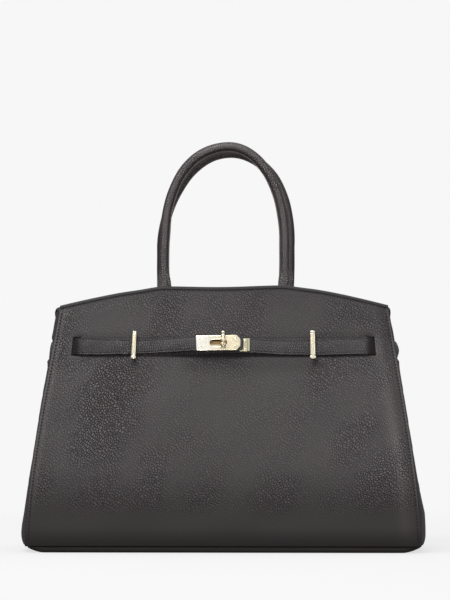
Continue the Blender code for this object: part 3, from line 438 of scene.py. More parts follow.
def soft_box(name, place, target, width, height, power):
    """A rectangular lamp that faces a point."""
    data = bpy.data.lights.new(name, "AREA")
    data.shape = "RECTANGLE"
    data.size = width
    data.size_y = height
    data.energy = power
    lamp = bpy.data.objects.new(name, data)
    away = np.array(place) - np.array(target)
    flat = math.hypot(away[0], away[1])
    lamp.location = place
    lamp.rotation_euler = (math.atan2(flat, away[2]), 0.0, math.atan2(away[0], -away[1]))
    bpy.context.scene.collection.objects.link(lamp)


BAG_MIDDLE = (0.0, 0.0, 0.18)
soft_box("key", (-0.65, -1.40, 2.00), BAG_MIDDLE, 1.2, 0.9, 33.0)
soft_box("front", (0.1, -2.6, 0.32), BAG_MIDDLE, 1.0, 0.5, 16.0)
soft_box("side", (1.7, -1.3, 0.7), BAG_MIDDLE, 0.6, 1.0, 3.0)
soft_box("top", (0.1, 0.4, 2.2), BAG_MIDDLE, 1.6, 1.0, 14.0)
print("four soft boxes set")

# %% [markdown]
# ## The shape of the bag as formulas
#
# Every wall of the bag is a layer that follows the same few formulas: how wide and how deep the bag is at
# a height, where the top edge runs, and how the side gussets bulge and fold. They are the ones the packed
# part was made from, so a surface worked out here lies where its solid does. Only the soft gussets are
# fuller or flatter by a millimetre or two at some heights, as their outline in the photograph shows.

# %% Sizes and shape formulas, in metres
BODY_HEIGHT = 0.251
FOOT_HALF_WIDTH, TOP_HALF_WIDTH, SIDE_BELLY = 0.1862, 0.1562, 0.0038
FOOT_HALF_DEPTH, TOP_HALF_DEPTH, FACE_BELLY = 0.076, 0.038, 0.009
FOOT_ROLL, FOOT_ROLL_HEIGHT = 0.004, 0.018
EDGE_ROLL, EDGE_ROLL_START = 0.0025, 0.85
SHOULDER_START, SHOULDER_DROP, SHOULDER_CURVE = 0.058, 0.0186, 1.25
CORNER_HEIGHT = BODY_HEIGHT - SHOULDER_DROP
GAP, LEATHER, BOARD, LINING = 0.0003, 0.0022, 0.0018, 0.0012
BOARD_INSET = LEATHER + GAP
LINING_INSET = BOARD_INSET + BOARD + GAP
INSIDE = LINING_INSET + LINING
LAYER_TRIM = 0.0070
SEAM_INSET = 0.001
BASE_TOP = 0.0054
PANEL_FOOT = BASE_TOP + GAP
INNER_FOOT = 0.010
BINDING_HEIGHT, BINDING_TOP, BINDING_WALL = 0.0030, 0.0010, 0.0009
BELT_HEIGHT = 0.1939
BAND_HEIGHT, BAND_HALF = 0.1915, 0.0085
POCKET_HEIGHT = 0.168
FRONT, BACK, LEFT, RIGHT = -1, 1, -1, 1

# how much fuller each gusset is than its solid, in tenths of a millimetre, at heights in millimetres
FULL_HEIGHTS = [6, 18, 25, 36, 50, 70, 90, 120, 140, 165, 176, 180, 184, 190, 197, 207, 217, 224]
FULLNESS = {
    LEFT: [0, 17, 18, 10, 5, 3, 2, 8, 10, 8, 9, 27, 19, 14, 23, 17, 13, 8],
    RIGHT: [-16, -5, 2, 10, -1, -9, -12, -16, -13, -9, -8, -2, -28, -16, -15, -18, -30, -32],
}
LOW_BULGE, MIDDLE_BULGE, HIGH_BULGE = 0.0088, 0.0042, 0.0058
FOLD_DEPTH, LEFT_PRESS, UNDER_ROLL, UNDER_HEIGHT = 0.005, 0.0026, 0.010, 0.016
STEP = 0.0005


def bell(distance, width, power=2):
    """1 on a line and falling away on both sides of it: exp(-(distance / width)^power). Higher even
    powers give it a flat top and steep sides."""
    return np.exp(-((distance / width) ** power))


def soft_step(value, low, high):
    """0 below low, 1 above high, and an even S between them."""
    part = np.clip((value - low) / (high - low), 0.0, 1.0)
    return part * part * (3 - 2 * part)


def rounding(distance, radius):
    """How far a rounded edge has fallen at this distance from it: a quarter circle."""
    part = np.clip(1 - distance / radius, 0.0, 1.0)
    return radius * (1 - np.sqrt(1 - part**2))


def smoothed(values, run, width):
    """Each value replaced by a mean of its neighbours, weighted by a bell of their distance."""
    weight = bell(run[:, None] - run[None, :], width)
    return weight @ values / weight.sum(1)


def belly(part):
    """Swelling at a part of the height: part * (1 - part)^1.6, scaled to 1 at its fullest."""
    part = np.clip(part, 0.0, 1.0)
    return part * (1 - part) ** 1.6 / 0.1765


def half_width(z):
    """A straight taper from foot to corner, plus a slight swelling."""
    part = np.clip(z / CORNER_HEIGHT, 0.0, 1.0)
    return FOOT_HALF_WIDTH + (TOP_HALF_WIDTH - FOOT_HALF_WIDTH) * part + SIDE_BELLY * belly(part)


def half_depth(x, z):
    """A straight taper in depth plus a belly, less the roll at the foot and at the side edges."""
    part = z / BODY_HEIGHT
    straight = FOOT_HALF_DEPTH + (TOP_HALF_DEPTH - FOOT_HALF_DEPTH) * part
    foot = np.clip(1 - (z - PANEL_FOOT) / FOOT_ROLL_HEIGHT, 0.0, 1.0)
    across = np.abs(x) / half_width(z)
    edge = np.clip((across - EDGE_ROLL_START) / (1 - EDGE_ROLL_START), 0.0, 1.2)
    return straight + FACE_BELLY * belly(part) - FOOT_ROLL * foot**2 - EDGE_ROLL * edge**2


def face_slope(x, z):
    """How much longer a layer's thickness is along Y than along the normal, from half_depth's slopes."""
    by_height = (half_depth(x, z + STEP) - half_depth(x, z - STEP)) / (2 * STEP)
    by_width = (half_depth(x + STEP, z) - half_depth(x - STEP, z)) / (2 * STEP)
    return np.sqrt(1 + by_height**2 + by_width**2)


def face_point(side, x, z, inset):
    """Points on the layer this far inside the outer surface of the front or back."""
    y = side * (half_depth(x, z) - inset * face_slope(x, z))
    return np.stack(np.broadcast_arrays(x, y, z), -1)


def top_edge(x):
    """Level in the middle, then dropping to the corners along a power curve."""
    out = np.clip((np.abs(x) - SHOULDER_START) / (TOP_HALF_WIDTH - SHOULDER_START), 0.0, 1.0)
    return BODY_HEIGHT - SHOULDER_DROP * out**SHOULDER_CURVE


def gusset_half_depth(z):
    """Half the gusset's depth: it ends inside the front and back leather."""
    x = half_width(z) - SEAM_INSET
    return half_depth(x, z) - BOARD_INSET * face_slope(x, z)


def gusset_x(side, t, z):
    """A gusset's outer surface: bulging between the seams (1 - t^4), folded in along its middle
    towards the top, pressed in under the left belt section and rounded under at the foot."""
    part = np.clip(z / CORNER_HEIGHT, 0.0, 1.0)
    # a parabola through the three bulges, at the foot, half way up and at the top
    bulge = LOW_BULGE * (1 - part) * (1 - 2 * part) + 4 * MIDDLE_BULGE * part * (1 - part)
    bulge = bulge + HIGH_BULGE * part * (2 * part - 1)
    bulge = bulge + 0.1 * MM * np.interp(z / MM, FULL_HEIGHTS, FULLNESS[side])
    fold = FOLD_DEPTH * np.clip(part - 0.25, 0.0, 1.0) * bell(t, 0.35)
    pressed = (side == LEFT) * LEFT_PRESS * bell(z - BAND_HEIGHT, 0.0096, 6)
    under = UNDER_ROLL / UNDER_HEIGHT * rounding(z, UNDER_HEIGHT)
    return half_width(z) - SEAM_INSET + (bulge - pressed) * (1 - t**4) - fold - under


def gusset_point(side, t, z, inset):
    """Points on the layer this far inside a gusset's outer surface."""
    by_height = (gusset_x(side, t, z + STEP) - gusset_x(side, t, z - STEP)) / (2 * STEP)
    depth = gusset_half_depth(z)
    by_depth = (gusset_x(side, t + 0.01, z) - gusset_x(side, t - 0.01, z)) / (0.02 * depth)
    x = gusset_x(side, t, z) - inset * np.sqrt(1 + by_height**2 + by_depth**2)
    return np.stack(np.broadcast_arrays(side * x, t * depth, z), -1)


def gusset_top(t):
    """Under the panels' bindings at the seams, level with them beside the seams, and dipping between."""
    rise = 0.0028 * np.clip((1 - np.abs(t)) / 0.12, 0.0, 1.0)
    return CORNER_HEIGHT - BINDING_HEIGHT - GAP + rise - 0.012 * (1 - t**2) ** 4


class FlatPlace:
    """A flat working frame on a panel: x to the right, up along the panel, out from it."""

    def __init__(self, side, height, inset, outward):
        slope = float(half_depth(0.0, height + STEP) - half_depth(0.0, height - STEP)) / (2 * STEP)
        length = math.hypot(1.0, slope)
        self.origin = face_point(side, 0.0, height, inset)
        self.up = np.array([0.0, side * slope, 1.0]) / length
        self.out = outward * np.array([0.0, side, -slope]) / length

    def at(self, x, up, out):
        """Points of the frame in the world."""
        x, up, out = (np.asarray(value, float)[..., None] for value in np.broadcast_arrays(x, up, out))
        return self.origin + x * np.array([1.0, 0.0, 0.0]) + up * self.up + out * self.out


on_belt = FlatPlace(FRONT, BELT_HEIGHT, 0.0, 1)
on_pocket = FlatPlace(BACK, POCKET_HEIGHT, INSIDE, -1)
leaning = math.degrees(math.asin(on_belt.out[2]))
print("belt frame at", np.round(on_belt.origin, 4), "leaning", round(leaning, 1))

# %% [markdown]
# ## From grids of points to closed pieces
#
# A surface worked out as a function of two parameters is a grid of points. Three helpers turn grids into
# closed pieces: a shell joins an outer and an inner grid along every free edge, also round holes, a tube
# carries a ring of points along a path, and a stitch line repeats one short thread along a seam. Faces
# come as arrays, one for each number of corners. The last step is the same for all: make the mesh, point
# its faces outwards and let it ride on its body.

# %% Helpers that make pieces
def runs(*parts):
    """Numbers from several (start, end, step) stretches, without doubles."""
    values = [np.linspace(a, b, max(2, int(round(abs(b - a) / step)) + 1)) for a, b, step in parts]
    return np.unique(np.round(np.concatenate(values), 7))


def grid_cells(rows, columns):
    """The four corners of every cell of a grid whose points are numbered row by row."""
    number = np.arange(rows * columns).reshape(rows, columns)
    return np.stack([number[:-1, :-1], number[:-1, 1:], number[1:, 1:], number[1:, :-1]], -1).reshape(-1, 4)


def with_lines(values, lines, apart):
    """The values with these lines among them, and without those that lie closer to a line than this."""
    clear = np.abs(values[:, None] - lines).min(1) > apart
    return np.unique(np.concatenate([values[clear], lines]))


def middles(grid):
    """A value for every cell of a grid: the mean of two opposite corners."""
    return (grid[:-1, :-1] + grid[1:, 1:]) / 2


def fanned(levels, top, count):
    """Rows at fixed levels, and then this many rows that turn evenly into a curved top edge."""
    part = np.linspace(0, 1, count + 1)[1:, None]
    return np.concatenate([levels[:, None] + 0 * top, levels[-1] + part * (top - levels[-1])])


def both_sides(first, second):
    """Sheet coordinates that are the same for the outer and the inner grid of a shell."""
    return np.tile(np.stack([first.ravel(), second.ravel()], -1), (2, 1))


def outer_masks(inner_value, **masks):
    """Masks of the outer grid of a shell, with one value all over its inner grid."""
    return {mask: np.append(values, np.full(values.size, inner_value)) for mask, values in masks.items()}


def ring_cells(rows, columns):
    """The four corners of every cell between rings of points, each ring closed in itself."""
    number = np.arange(rows * columns).reshape(rows, columns)
    turned = np.roll(number, -1, axis=1)
    return np.stack([number[:-1], turned[:-1], turned[1:], number[1:]], -1).reshape(-1, 4)


def shell(outer, inner, kept=None):
    """A closed wall between two grids, with a rim along every edge that only one kept cell has. Points
    that no face uses are put on one that is used, and are merged with it afterwards."""
    rows, columns = outer.shape[:2]
    count = rows * columns
    cells = grid_cells(rows, columns)
    if kept is not None:
        cells = cells[kept.ravel()]
    edges = np.concatenate([cells[:, [i, (i + 1) % 4]] for i in range(4)])
    free = edges[~np.isin(edges[:, 0] * count + edges[:, 1], edges[:, 1] * count + edges[:, 0])]
    rim = np.stack([free[:, 1], free[:, 0], free[:, 0] + count, free[:, 1] + count], -1)
    faces = np.concatenate([cells, cells[:, ::-1] + count, rim])
    points = np.concatenate([outer.reshape(-1, 3), inner.reshape(-1, 3)])
    unused = np.ones(len(points), bool)
    unused[faces] = False
    points[unused] = points[faces[0, 0]]
    return points, [faces]


def tube(rings):
    """A skin round rings of points, with a flat face at each end. The first column is repeated at the
    end, so that a sheet pattern can run all the way round; the doubles are merged afterwards."""
    stations, around = rings.shape[:2]
    closed = np.concatenate([rings, rings[:, :1]], 1)
    start = np.arange(around)[None, :]
    end = start + (stations - 1) * (around + 1)
    return closed.reshape(-1, 3), [grid_cells(stations, around + 1), start, end]


def squared_circle(angle, power):
    """Cosine and sine raised to a power with their signs kept. Power 1 is a circle, and lower powers
    fill its corners."""
    return [np.sign(wave) * np.abs(wave) ** power for wave in (np.cos(angle), np.sin(angle))]


def along(line):
    """Distance run along a line of points."""
    return np.concatenate([[0.0], np.cumsum(np.linalg.norm(np.diff(line, axis=0), axis=1))])


def tube_sheet(rings):
    """Sheet coordinates of a tube in metres: along its length and round its girth."""
    closed = np.concatenate([rings, rings[:, :1]], 1)
    length = along(rings.mean(1))
    girth = np.linalg.norm(np.diff(closed, axis=1), axis=2).max(0)
    round_it = np.concatenate([[0.0], np.cumsum(girth)])
    return np.stack(np.meshgrid(length, round_it, indexing="ij"), -1).reshape(-1, 2)


def make_piece(name, points, faces, finish, body, replaces=(), slot=None, sheet=None, masks=None, crisp=40):
    """A mesh object from points and face arrays: doubles merged, faces outwards, riding on its body."""
    mesh = bpy.data.meshes.new(name)
    mesh.from_pydata(points.tolist(), [], sum((part.tolist() for part in faces), []))
    for mask, values in (masks or {}).items():
        attribute = mesh.attributes.new(mask, "FLOAT", "POINT")
        attribute.data.foreach_set("value", np.ravel(values).astype(np.float32))
    if sheet is not None:
        corners = np.empty(len(mesh.loops), np.int64)
        mesh.loops.foreach_get("vertex_index", corners)
        layer = mesh.uv_layers.new(name="metres")
        layer.data.foreach_set("uv", np.asarray(sheet, np.float32)[corners].ravel())
    shape = bmesh.new()
    shape.from_mesh(mesh)
    bmesh.ops.remove_doubles(shape, verts=shape.verts, dist=1e-7)
    bmesh.ops.recalc_face_normals(shape, faces=shape.faces)
    shape.to_mesh(mesh)
    shape.free()
    mesh.shade_smooth()
    mesh.set_sharp_from_angle(angle=math.radians(crisp))
    mesh.materials.append(finish)
    obj = bpy.data.objects.new(name, mesh)
    bpy.context.scene.collection.objects.link(obj)
    if body:
        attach(obj, body)
    if replaces:
        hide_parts(*replaces)
    print(name, len(mesh.polygons), "faces")
    return obj


print("helpers ready")

# %% [markdown]
# ## Stitches as geometry
#
# Each stitch is a short thread that rises from one hole, humps over the leather and dives into the next.
# One stitch of 28 faces is worked out once and set down along the seam, leaning a little, as a saddle
# stitch does. All stitches of a seam are one piece.

# %% Stitch lines
STITCH_LEAN = 0.10
HALF_STEP = 0.0004


def one_stitch(length, thick, rings=5, around=6):
    """Points (along, across, up) of a thread: a round section that dives at both ends."""
    run = np.linspace(-1.0, 1.0, rings)[:, None]
    angle = np.arange(around)[None, :] * 2 * math.pi / around
    girth = thick / 2 * (1 - 0.45 * run**4)
    rise = thick * 0.38 - thick * 0.95 * run**4
    points = np.stack([run * length / 2 + 0 * angle, girth * np.cos(angle), rise + girth * np.sin(angle)], -1)
    last = (rings - 1) * around
    ends = [(first, first + a, first + a + 1, first + a + 2) for first in (0, last) for a in (1, 3)]
    return points.reshape(-1, 3), np.concatenate([ring_cells(rings, around), ends])


def stitch_line(line, outward, pitch, length, thick):
    """Stitches along one line of points, standing on the surface with these outward directions."""
    run = along(line)
    count = max(1, int(run[-1] // pitch))
    place = (np.arange(count) + 0.5) * run[-1] / count

    def taken(values, where):
        return np.stack([np.interp(where, run, values[:, k]) for k in range(3)], -1)

    centre, out = taken(line, place), taken(outward, place)
    ahead = taken(line, place + HALF_STEP) - taken(line, place - HALF_STEP)
    ahead /= np.linalg.norm(ahead, axis=1, keepdims=True)
    out -= (out * ahead).sum(1, keepdims=True) * ahead
    out /= np.linalg.norm(out, axis=1, keepdims=True)
    side = np.cross(out, ahead)
    turned = ahead * math.cos(STITCH_LEAN) + side * math.sin(STITCH_LEAN)
    across = np.cross(out, turned)
    points, faces = one_stitch(length, thick)
    axes = np.stack([turned, across, out], 1)
    placed = centre[:, None, :] + np.einsum("pk,nkd->npd", points, axes)
    numbered = faces[None] + (np.arange(count) * len(points))[:, None, None]
    return placed.reshape(-1, 3), numbered.reshape(-1, 4)


def stitched(name, lines, body, pitch, length, thick):
    """One piece of all the stitches along several (points, outward directions) lines."""
    all_points, all_faces, first = [], [], 0
    for line, outward in lines:
        points, faces = stitch_line(line, outward, pitch, length, thick)
        all_points.append(points)
        all_faces.append(faces + first)
        first += len(points)
    make_piece(name, np.concatenate(all_points), all_faces, thread, body, slot="black_leather", crisp=80)


def surface_line(point, a, b):
    """Points on a surface along parameter arrays, with their normals from two small steps."""
    here = point(a, b)
    by_a = point(a + HALF_STEP, b) - point(a - HALF_STEP, b)
    by_b = point(a, b + HALF_STEP) - point(a, b - HALF_STEP)
    normal = np.cross(by_a, by_b)
    return here, normal / np.linalg.norm(normal, axis=-1, keepdims=True)


print("a stitch has", len(one_stitch(0.002, 0.0005)[1]), "faces")

# %% [markdown]
# ## Front and back leather
#
# Each face is one sheet from seam to seam. Its columns are close together at the seams and at the slits,
# and its rows at the foot, in the belt's height and at the top. On top of the plain shape lies a relief:
# the edges round off, the stitched seams are pressed in, the leather bulges beside each slit because the
# belt pulls there, and the whole face waves a little, as leather over a board does.

# %% Front and back panels
SLIT_OUTER, SLIT_INNER, SLIT_HALF = 0.1431, 0.1367, 0.0086
SEAM_WIDTH = float(half_width(BELT_HEIGHT))
SEAM_STITCH, TOP_RIDGE, EDGE_RADIUS, SWELL = 0.0028, 0.0032, 0.0009, 0.0140
LOCK_UP, LEATHER_HOLE, STRAP_HOLE, PLATE_HOLE = 0.0012, 0.0036, 0.0031, 0.0029
# columns beside the seams, rows over the foot, under the top and each way from the belt's middle
EDGE_DISTANCES = MM * np.array(
    [9.5, 8, 6.7, 5.6, 4.7, 4, 3.5, 3.15, 2.8, 2.45, 2.1, 1.7, 1.3, 0.9, 0.55, 0.28, 0.1, 0]
)
FOOT_RISES = MM * np.array([0, 0.12, 0.3, 0.55, 0.9, 1.4, 2.2, 3.4, 5, 7, 9.3])
TOP_DROPS = MM * np.array([8.5, 7, 5.8, 5, 4.5, 4.1, 3.7, 3.2, 2.5, 1.3])
SLIT_RISES = MM * np.array([2.5, 5, 7.2, 8.2, 8.6, 9.1, 9.7, 10.4])
# places where the grain is calmer, as strength, x, half width, z and half height: over the belt on the
# left, under the left keeper, and on the right under and over the belt. Below the belt on the left it is
# at its liveliest.
CALM_PLACES = [
    (0.72, -0.118, 0.036, 0.221, 0.018),
    (0.55, -0.055, 0.024, 0.170, 0.024),
    (0.40, 0.095, 0.036, 0.125, 0.030),
    (0.35, 0.075, 0.040, 0.088, 0.022),
    (0.55, 0.078, 0.044, 0.225, 0.018),
    (0.35, 0.050, 0.026, 0.172, 0.016),
    (-0.60, -0.110, 0.028, 0.158, 0.028),
]


def top_wave(side, x):
    """The front's top edge sags a little left of the middle and its right shoulder stands higher."""
    if side == BACK:
        return -0.0004 * bell(x - 0.02, 0.05)
    sag = 0.0009 * bell(x + 0.006, 0.035) + 0.0006 * bell(x + 0.080, 0.014) + 0.0004 * bell(x - 0.072, 0.012)
    return 0.0006 - sag + 0.0004 * bell(x - 0.048, 0.025) + 0.0010 * bell(x - 0.101, 0.045)


def slit_shift(across, z):
    """How far a slit's upper end is moved outwards, because it leans less than the bag's side."""
    return 0.075 * (z - BELT_HEIGHT) * bell(across - 0.1405, 0.008) * bell(z - BELT_HEIGHT, 0.014, 4)


def at_belt(x, z):
    """Distance from the middle, scaled to the width that the face has at the belt."""
    return np.abs(x) / half_width(z) * SEAM_WIDTH


def slit_distance(x, z):
    """Distance from the nearest slit."""
    across = at_belt(np.abs(x) - slit_shift(np.abs(x), z), z)
    beside = np.maximum(np.abs(across - (SLIT_OUTER + SLIT_INNER) / 2) - (SLIT_OUTER - SLIT_INNER) / 2, 0.0)
    above = np.maximum(np.abs(z - BELT_HEIGHT) - SLIT_HALF, 0.0)
    return np.hypot(beside, above)


def face_relief(side, x, z, top):
    """Height of the leather over its plain shape: rounded edges, seam grooves, slit lips and waves."""
    seam = half_width(z) - np.abs(x)
    below = top - z
    rise = -rounding(seam, EDGE_RADIUS) - rounding(z - PANEL_FOOT, EDGE_RADIUS)
    rise += 0.0004 * bell(below - TOP_RIDGE, 0.0009) - 0.00028 * bell(seam - SEAM_STITCH, 0.0009)
    calm_edge = soft_step(seam, 0.004, 0.030) * soft_step(below, 0.006, 0.030) * soft_step(z, 0.010, 0.035)
    belt = soft_step(np.abs(z - BELT_HEIGHT), 0.013, 0.034)
    wave = 0.00042 * np.sin(41 * x + 23 * z + 0.7) * np.sin(19 * x - 47 * z + 1.9)
    wave += 0.00030 * np.sin(67 * x - 31 * z + 4.1 * side) * np.sin(53 * z + 11 * x)
    rise += wave * calm_edge * belt
    rise += 0.0005 * bell(seam - SWELL, 0.0060) * (x > 0) * bell(z - 0.110, 0.085)
    rise += 0.00035 * soft_step(below, 0.004, 0.010) * bell(below - 0.011, 0.006) * calm_edge
    if side == FRONT:
        across = at_belt(x, z)
        rise += 0.0011 * bell(across - 0.1502, 0.0048) * bell(z - BELT_HEIGHT, 0.0115, 4)
        rise += 0.0004 * bell(across - 0.1330, 0.005) * bell(z - BELT_HEIGHT, 0.014, 4)
        rise -= rounding(slit_distance(x, z), EDGE_RADIUS)
    return rise


def face_shade(side, x, z, seam, below):
    """How much painted shade the face gets: at every edge, towards the foot, a little in the middle, above
    the belt and more so on the right, in the dip beside the right seam, and in front in the slits and in
    the shadow close round the belt."""
    shade = 0.25 * bell(below - TOP_RIDGE, 0.0006) + 0.75 * bell(seam, 0.0003)
    shade += 0.60 * bell(z - PANEL_FOOT, 0.0006) + 0.60 * (1 - soft_step(z, 0.030, 0.092))
    shade += 0.12 * (1 - soft_step(z, 0.008, 0.024)) + 0.10 * bell(x, 0.10) * bell(z - 0.115, 0.07)
    shade += (0.10 + 0.10 * soft_step(x, -0.04, 0.06)) * soft_step(z, 0.195, 0.21)
    shade += 0.26 * bell(seam - 0.0062, 0.0036) * (x > 0) * soft_step(z, 0.03, 0.10)
    if side == FRONT:
        across = at_belt(x, z)
        over = z - BELT_HEIGHT
        shade += 0.80 * bell(slit_distance(x, z), 0.0005)
        shade += 0.50 * bell(across - 0.1375, 0.0055) * bell(over - 0.0102, 0.0017)
        shade += 0.40 * bell(over - 0.0082, 0.0009) * (1 - soft_step(across, 0.130, 0.136))
        shade += 0.20 * bell(over - 0.0105, 0.004) * soft_step(across, 0.030, 0.090)
        under_right = soft_step(x, -0.050, -0.028) * (1 - soft_step(x, 0.085, 0.105))
        shade += 0.30 * bell(over + 0.0180, 0.008) * under_right
        shade += 0.95 * bell(over + 0.0090, 0.0009) * (across < 0.136)
        shade += 0.90 * bell(over + 0.0082, 0.0022) * bell(x, 0.045)
    return np.clip(shade, 0, 1)


def face_calm(side, x, z, seam, below):
    """How much of the grain is pressed flat: at the edges, in the middle below the belt, at the foot
    and in the calm places."""
    calm = 0.70 * (1 - soft_step(seam, 0.003, 0.007)) + 0.45 * (1 - soft_step(below, 0.004, 0.009))
    calm += 0.95 * (1 - soft_step(z, 0.028, 0.050))
    calm += 0.76 * bell(x, 0.055) * soft_step(z, 0.03, 0.07) * bell(z - 0.115, 0.07)
    for strength, place_x, half_wide, place_z, half_tall in CALM_PLACES:
        calm += strength * bell(x - place_x, half_wide) * bell(z - place_z, half_tall)
    if side == FRONT:
        calm += 0.5 * bell(slit_distance(x, z), 0.005)
    return np.clip(calm, -0.5, 0.95)


def face_wear(side, x, z, seam):
    """How much painted highlight the face gets: along the seams, on the swell and at the slits' rims."""
    wear = 0.62 * bell(seam - 0.0013, 0.0008) + np.where(x > 0, 0.1, 0.45) * bell(seam - 0.0056, 0.0022)
    wear = wear * soft_step(z, 0.02, 0.06)
    wear += 0.66 * bell(seam - SWELL, 0.0066) * (x > 0) * bell(z - 0.090, 0.085)
    if side == FRONT:
        rim = bell(at_belt(x, z) - SLIT_OUTER - 0.0009, 0.0006)
        wear += np.where(x > 0, 0.8, 0.2) * rim * bell(z - BELT_HEIGHT, 0.0085, 6)
    return np.clip(wear, 0, 1)


def face_leather(name, side):
    """The front or back sheet. Its columns follow the taper, except those beside the seams, which keep
    their distance from them."""
    slit_lines = np.array([SLIT_INNER, SLIT_OUTER]) / SEAM_WIDTH
    spread = with_lines(runs((0, 0.80, 0.0133), (0.80, 0.93, 0.0043)), slit_lines, 0.0022)
    levels = np.concatenate([
        PANEL_FOOT + FOOT_RISES,
        np.arange(0.0180, 0.1755, 0.0034),
        np.arange(0.1770, 0.1836, 0.0011),
        BELT_HEIGHT + np.concatenate([-SLIT_RISES[::-1], [0], SLIT_RISES]),
        np.arange(0.2045, 0.2125, 0.0012),
    ])
    u = np.concatenate([spread, np.ones(len(EDGE_DISTANCES))])
    trim = np.concatenate([np.zeros(len(spread)), EDGE_DISTANCES])
    u = np.concatenate([-u[:0:-1], u])
    trim = np.concatenate([trim[:0:-1], trim])
    at_top = np.sign(u) * (np.abs(u) * TOP_HALF_WIDTH - trim)
    top = (top_edge(at_top) + top_wave(side, at_top))[None, :]
    z = np.concatenate([fanned(levels, top - TOP_DROPS[0] - 0.0015, 11), top - TOP_DROPS[:, None]])
    reach = np.abs(u) * half_width(z) - trim
    if side == FRONT:
        reach = reach + slit_shift(reach, z)
    x = np.sign(u) * reach
    outer = face_point(side, x, z, -face_relief(side, x, z, top))
    inner = face_point(side, x, z, LEATHER)
    kept = None
    if side == FRONT:
        cell_x, cell_z = middles(x), middles(z)
        shaft = np.hypot(cell_x, cell_z - BELT_HEIGHT - LOCK_UP)
        kept = (slit_distance(cell_x, cell_z) > 0) & (shaft > LEATHER_HOLE)
    points, faces = shell(outer, inner, kept)
    seam, below = half_width(z) - np.abs(x), top - z
    masks = outer_masks(
        0.2,
        shade=face_shade(side, x, z, seam, below),
        calm=face_calm(side, x, z, seam, below),
        wear=face_wear(side, x, z, seam),
    )
    panel = name.replace("leather", "panel")
    sheet = both_sides(x + 0.4 * side, z)
    make_piece(name, points, faces, bag_leather, "bag", [panel], "black_leather", sheet, masks)


face_leather("front_leather", FRONT)
face_leather("back_leather", BACK)

# %% [markdown]
# ## Side gussets
#
# A gusset runs from seam to seam round each side. It bulges at the foot, folds in along its middle
# towards the top, and carries the soft sideways creases that a gusset gets from closing the bag. The
# creases are sums of narrow bells that lean a little, and they fade where the belt section presses.

# %% Gussets
# creases as height, lean and depth
GUSSET_CREASES = [
    (0.060, 0.18, 0.00035),
    (0.092, -0.15, 0.00050),
    (0.121, 0.10, 0.00045),
    (0.149, -0.08, 0.00060),
    (0.208, 0.12, 0.00030),
]


def gusset_relief(side, t, z):
    """Creases across the gusset, deepest in its middle, over a slow wave."""
    middle = (1 - t**2) ** 1.5
    free = soft_step(np.abs(z - BAND_HEIGHT), 0.012, 0.022)
    rise = 0.0004 * np.sin(70 * z + 3 * t + side) * middle
    for height, lean, depth in GUSSET_CREASES:
        line = z - height - lean * 0.03 * t * side
        rise = rise + depth * middle * (0.6 * bell(line - 0.0045, 0.0040) - bell(line, 0.0022))
    return rise * free


def gusset_rows(foot, t):
    """Heights of a gusset's points, from its foot to just inside its binding."""
    top = gusset_top(t)[None, :] - BINDING_TOP - GAP
    levels = np.concatenate([
        foot + MM * np.array([0, 0.15, 0.4, 0.8, 1.4, 2.2, 3.2, 4.4, 5.8, 7.4, 9.2]),
        np.arange(0.0180, 0.1760, 0.0030),
        np.arange(0.1780, 0.2060, 0.0017),
    ])
    return fanned(levels[levels < top.min() - 0.003], top, 6)


def gusset_leather(name, side):
    """A gusset's leather, with its columns closer together at the seams."""
    t = np.sin(np.linspace(-math.pi / 2, math.pi / 2, 61)) * 0.55 + np.linspace(-1, 1, 61) * 0.45
    z = gusset_rows(PANEL_FOOT, t)
    t = t + 0 * z
    relief = gusset_relief(side, t, z) - rounding(z - PANEL_FOOT, EDGE_RADIUS)
    outer = gusset_point(side, t, z, -relief)
    inner = gusset_point(side, t, z, LEATHER)
    points, faces = shell(outer, inner)
    # painted shade in the creases and towards both seams, where the sides get less light
    crease = np.clip(-gusset_relief(side, t, z) / 0.0005, 0, 1)
    masks = outer_masks(
        0.2,
        shade=np.clip(0.30 * crease + 0.70 * soft_step(np.abs(t), 0.45, 0.95), 0, 1),
        calm=0.3 * crease + 0.3 * bell(z - BAND_HEIGHT, 0.012),
    )
    gusset = name.replace("_leather", "")
    sheet = both_sides(t * gusset_half_depth(z) + side, z)
    make_piece(name, points, faces, bag_leather, "bag", [gusset], "black_leather", sheet, masks)


gusset_leather("gusset_left_leather", LEFT)
gusset_leather("gusset_right_leather", RIGHT)

# %% [markdown]
# ## Base, linings and boards
#
# The base is a firm leather plate whose ends lift off the ground and whose long edges are rounded, which
# leaves the dark line under the front, and its leather is painted in shade all over to deepen that line.
# Inside, every wall has its lining, one closed cloth skin each, with the weave laid out along the cloth.
# The boards between them are flat pressed fibre: the imported solids already have their shape, so they
# only get their finish.

# %% Base
BASE_FLAT, BASE_LIFT, BASE_ROUND, BASE_LEAST = 0.168, 0.004, 0.003, 0.001
END_PARTS = np.array([0, 0.15, 0.3, 0.45, 0.6, 0.72, 0.83, 0.91, 0.96, 0.99, 1.0])


def base_rows(low, inset, clearance, flat, follow, underside, parts):
    """A level grid over the base. The underside lifts as a square at both ends and rounds off along the
    long edges."""
    part = parts[:, None]
    corner = np.clip((np.abs(part) - 0.9) / 0.1, 0, 1)
    end = gusset_x(RIGHT, np.clip(follow * part, -1, 1), PANEL_FOOT) - clearance - 0.003 * corner**2
    out = flat + END_PARTS * (end - flat)
    x = np.concatenate([-out[:, ::-1], np.linspace(-flat, flat, 24)[None, 1:-1] + 0 * end, out], axis=1)
    reach = half_depth(x, PANEL_FOOT) - inset
    y = part * reach
    if underside:
        rise_part = np.clip((np.abs(x) - flat) / (end - flat), 0, 1)
        rise = BASE_LIFT * rise_part**2 + rounding(reach - np.abs(y), BASE_ROUND)
        lift = np.minimum(rise, BASE_TOP - BASE_LEAST)
    else:
        lift = -rounding(reach - np.abs(y), 0.0006)
    return np.stack([x, y, low + lift], -1)


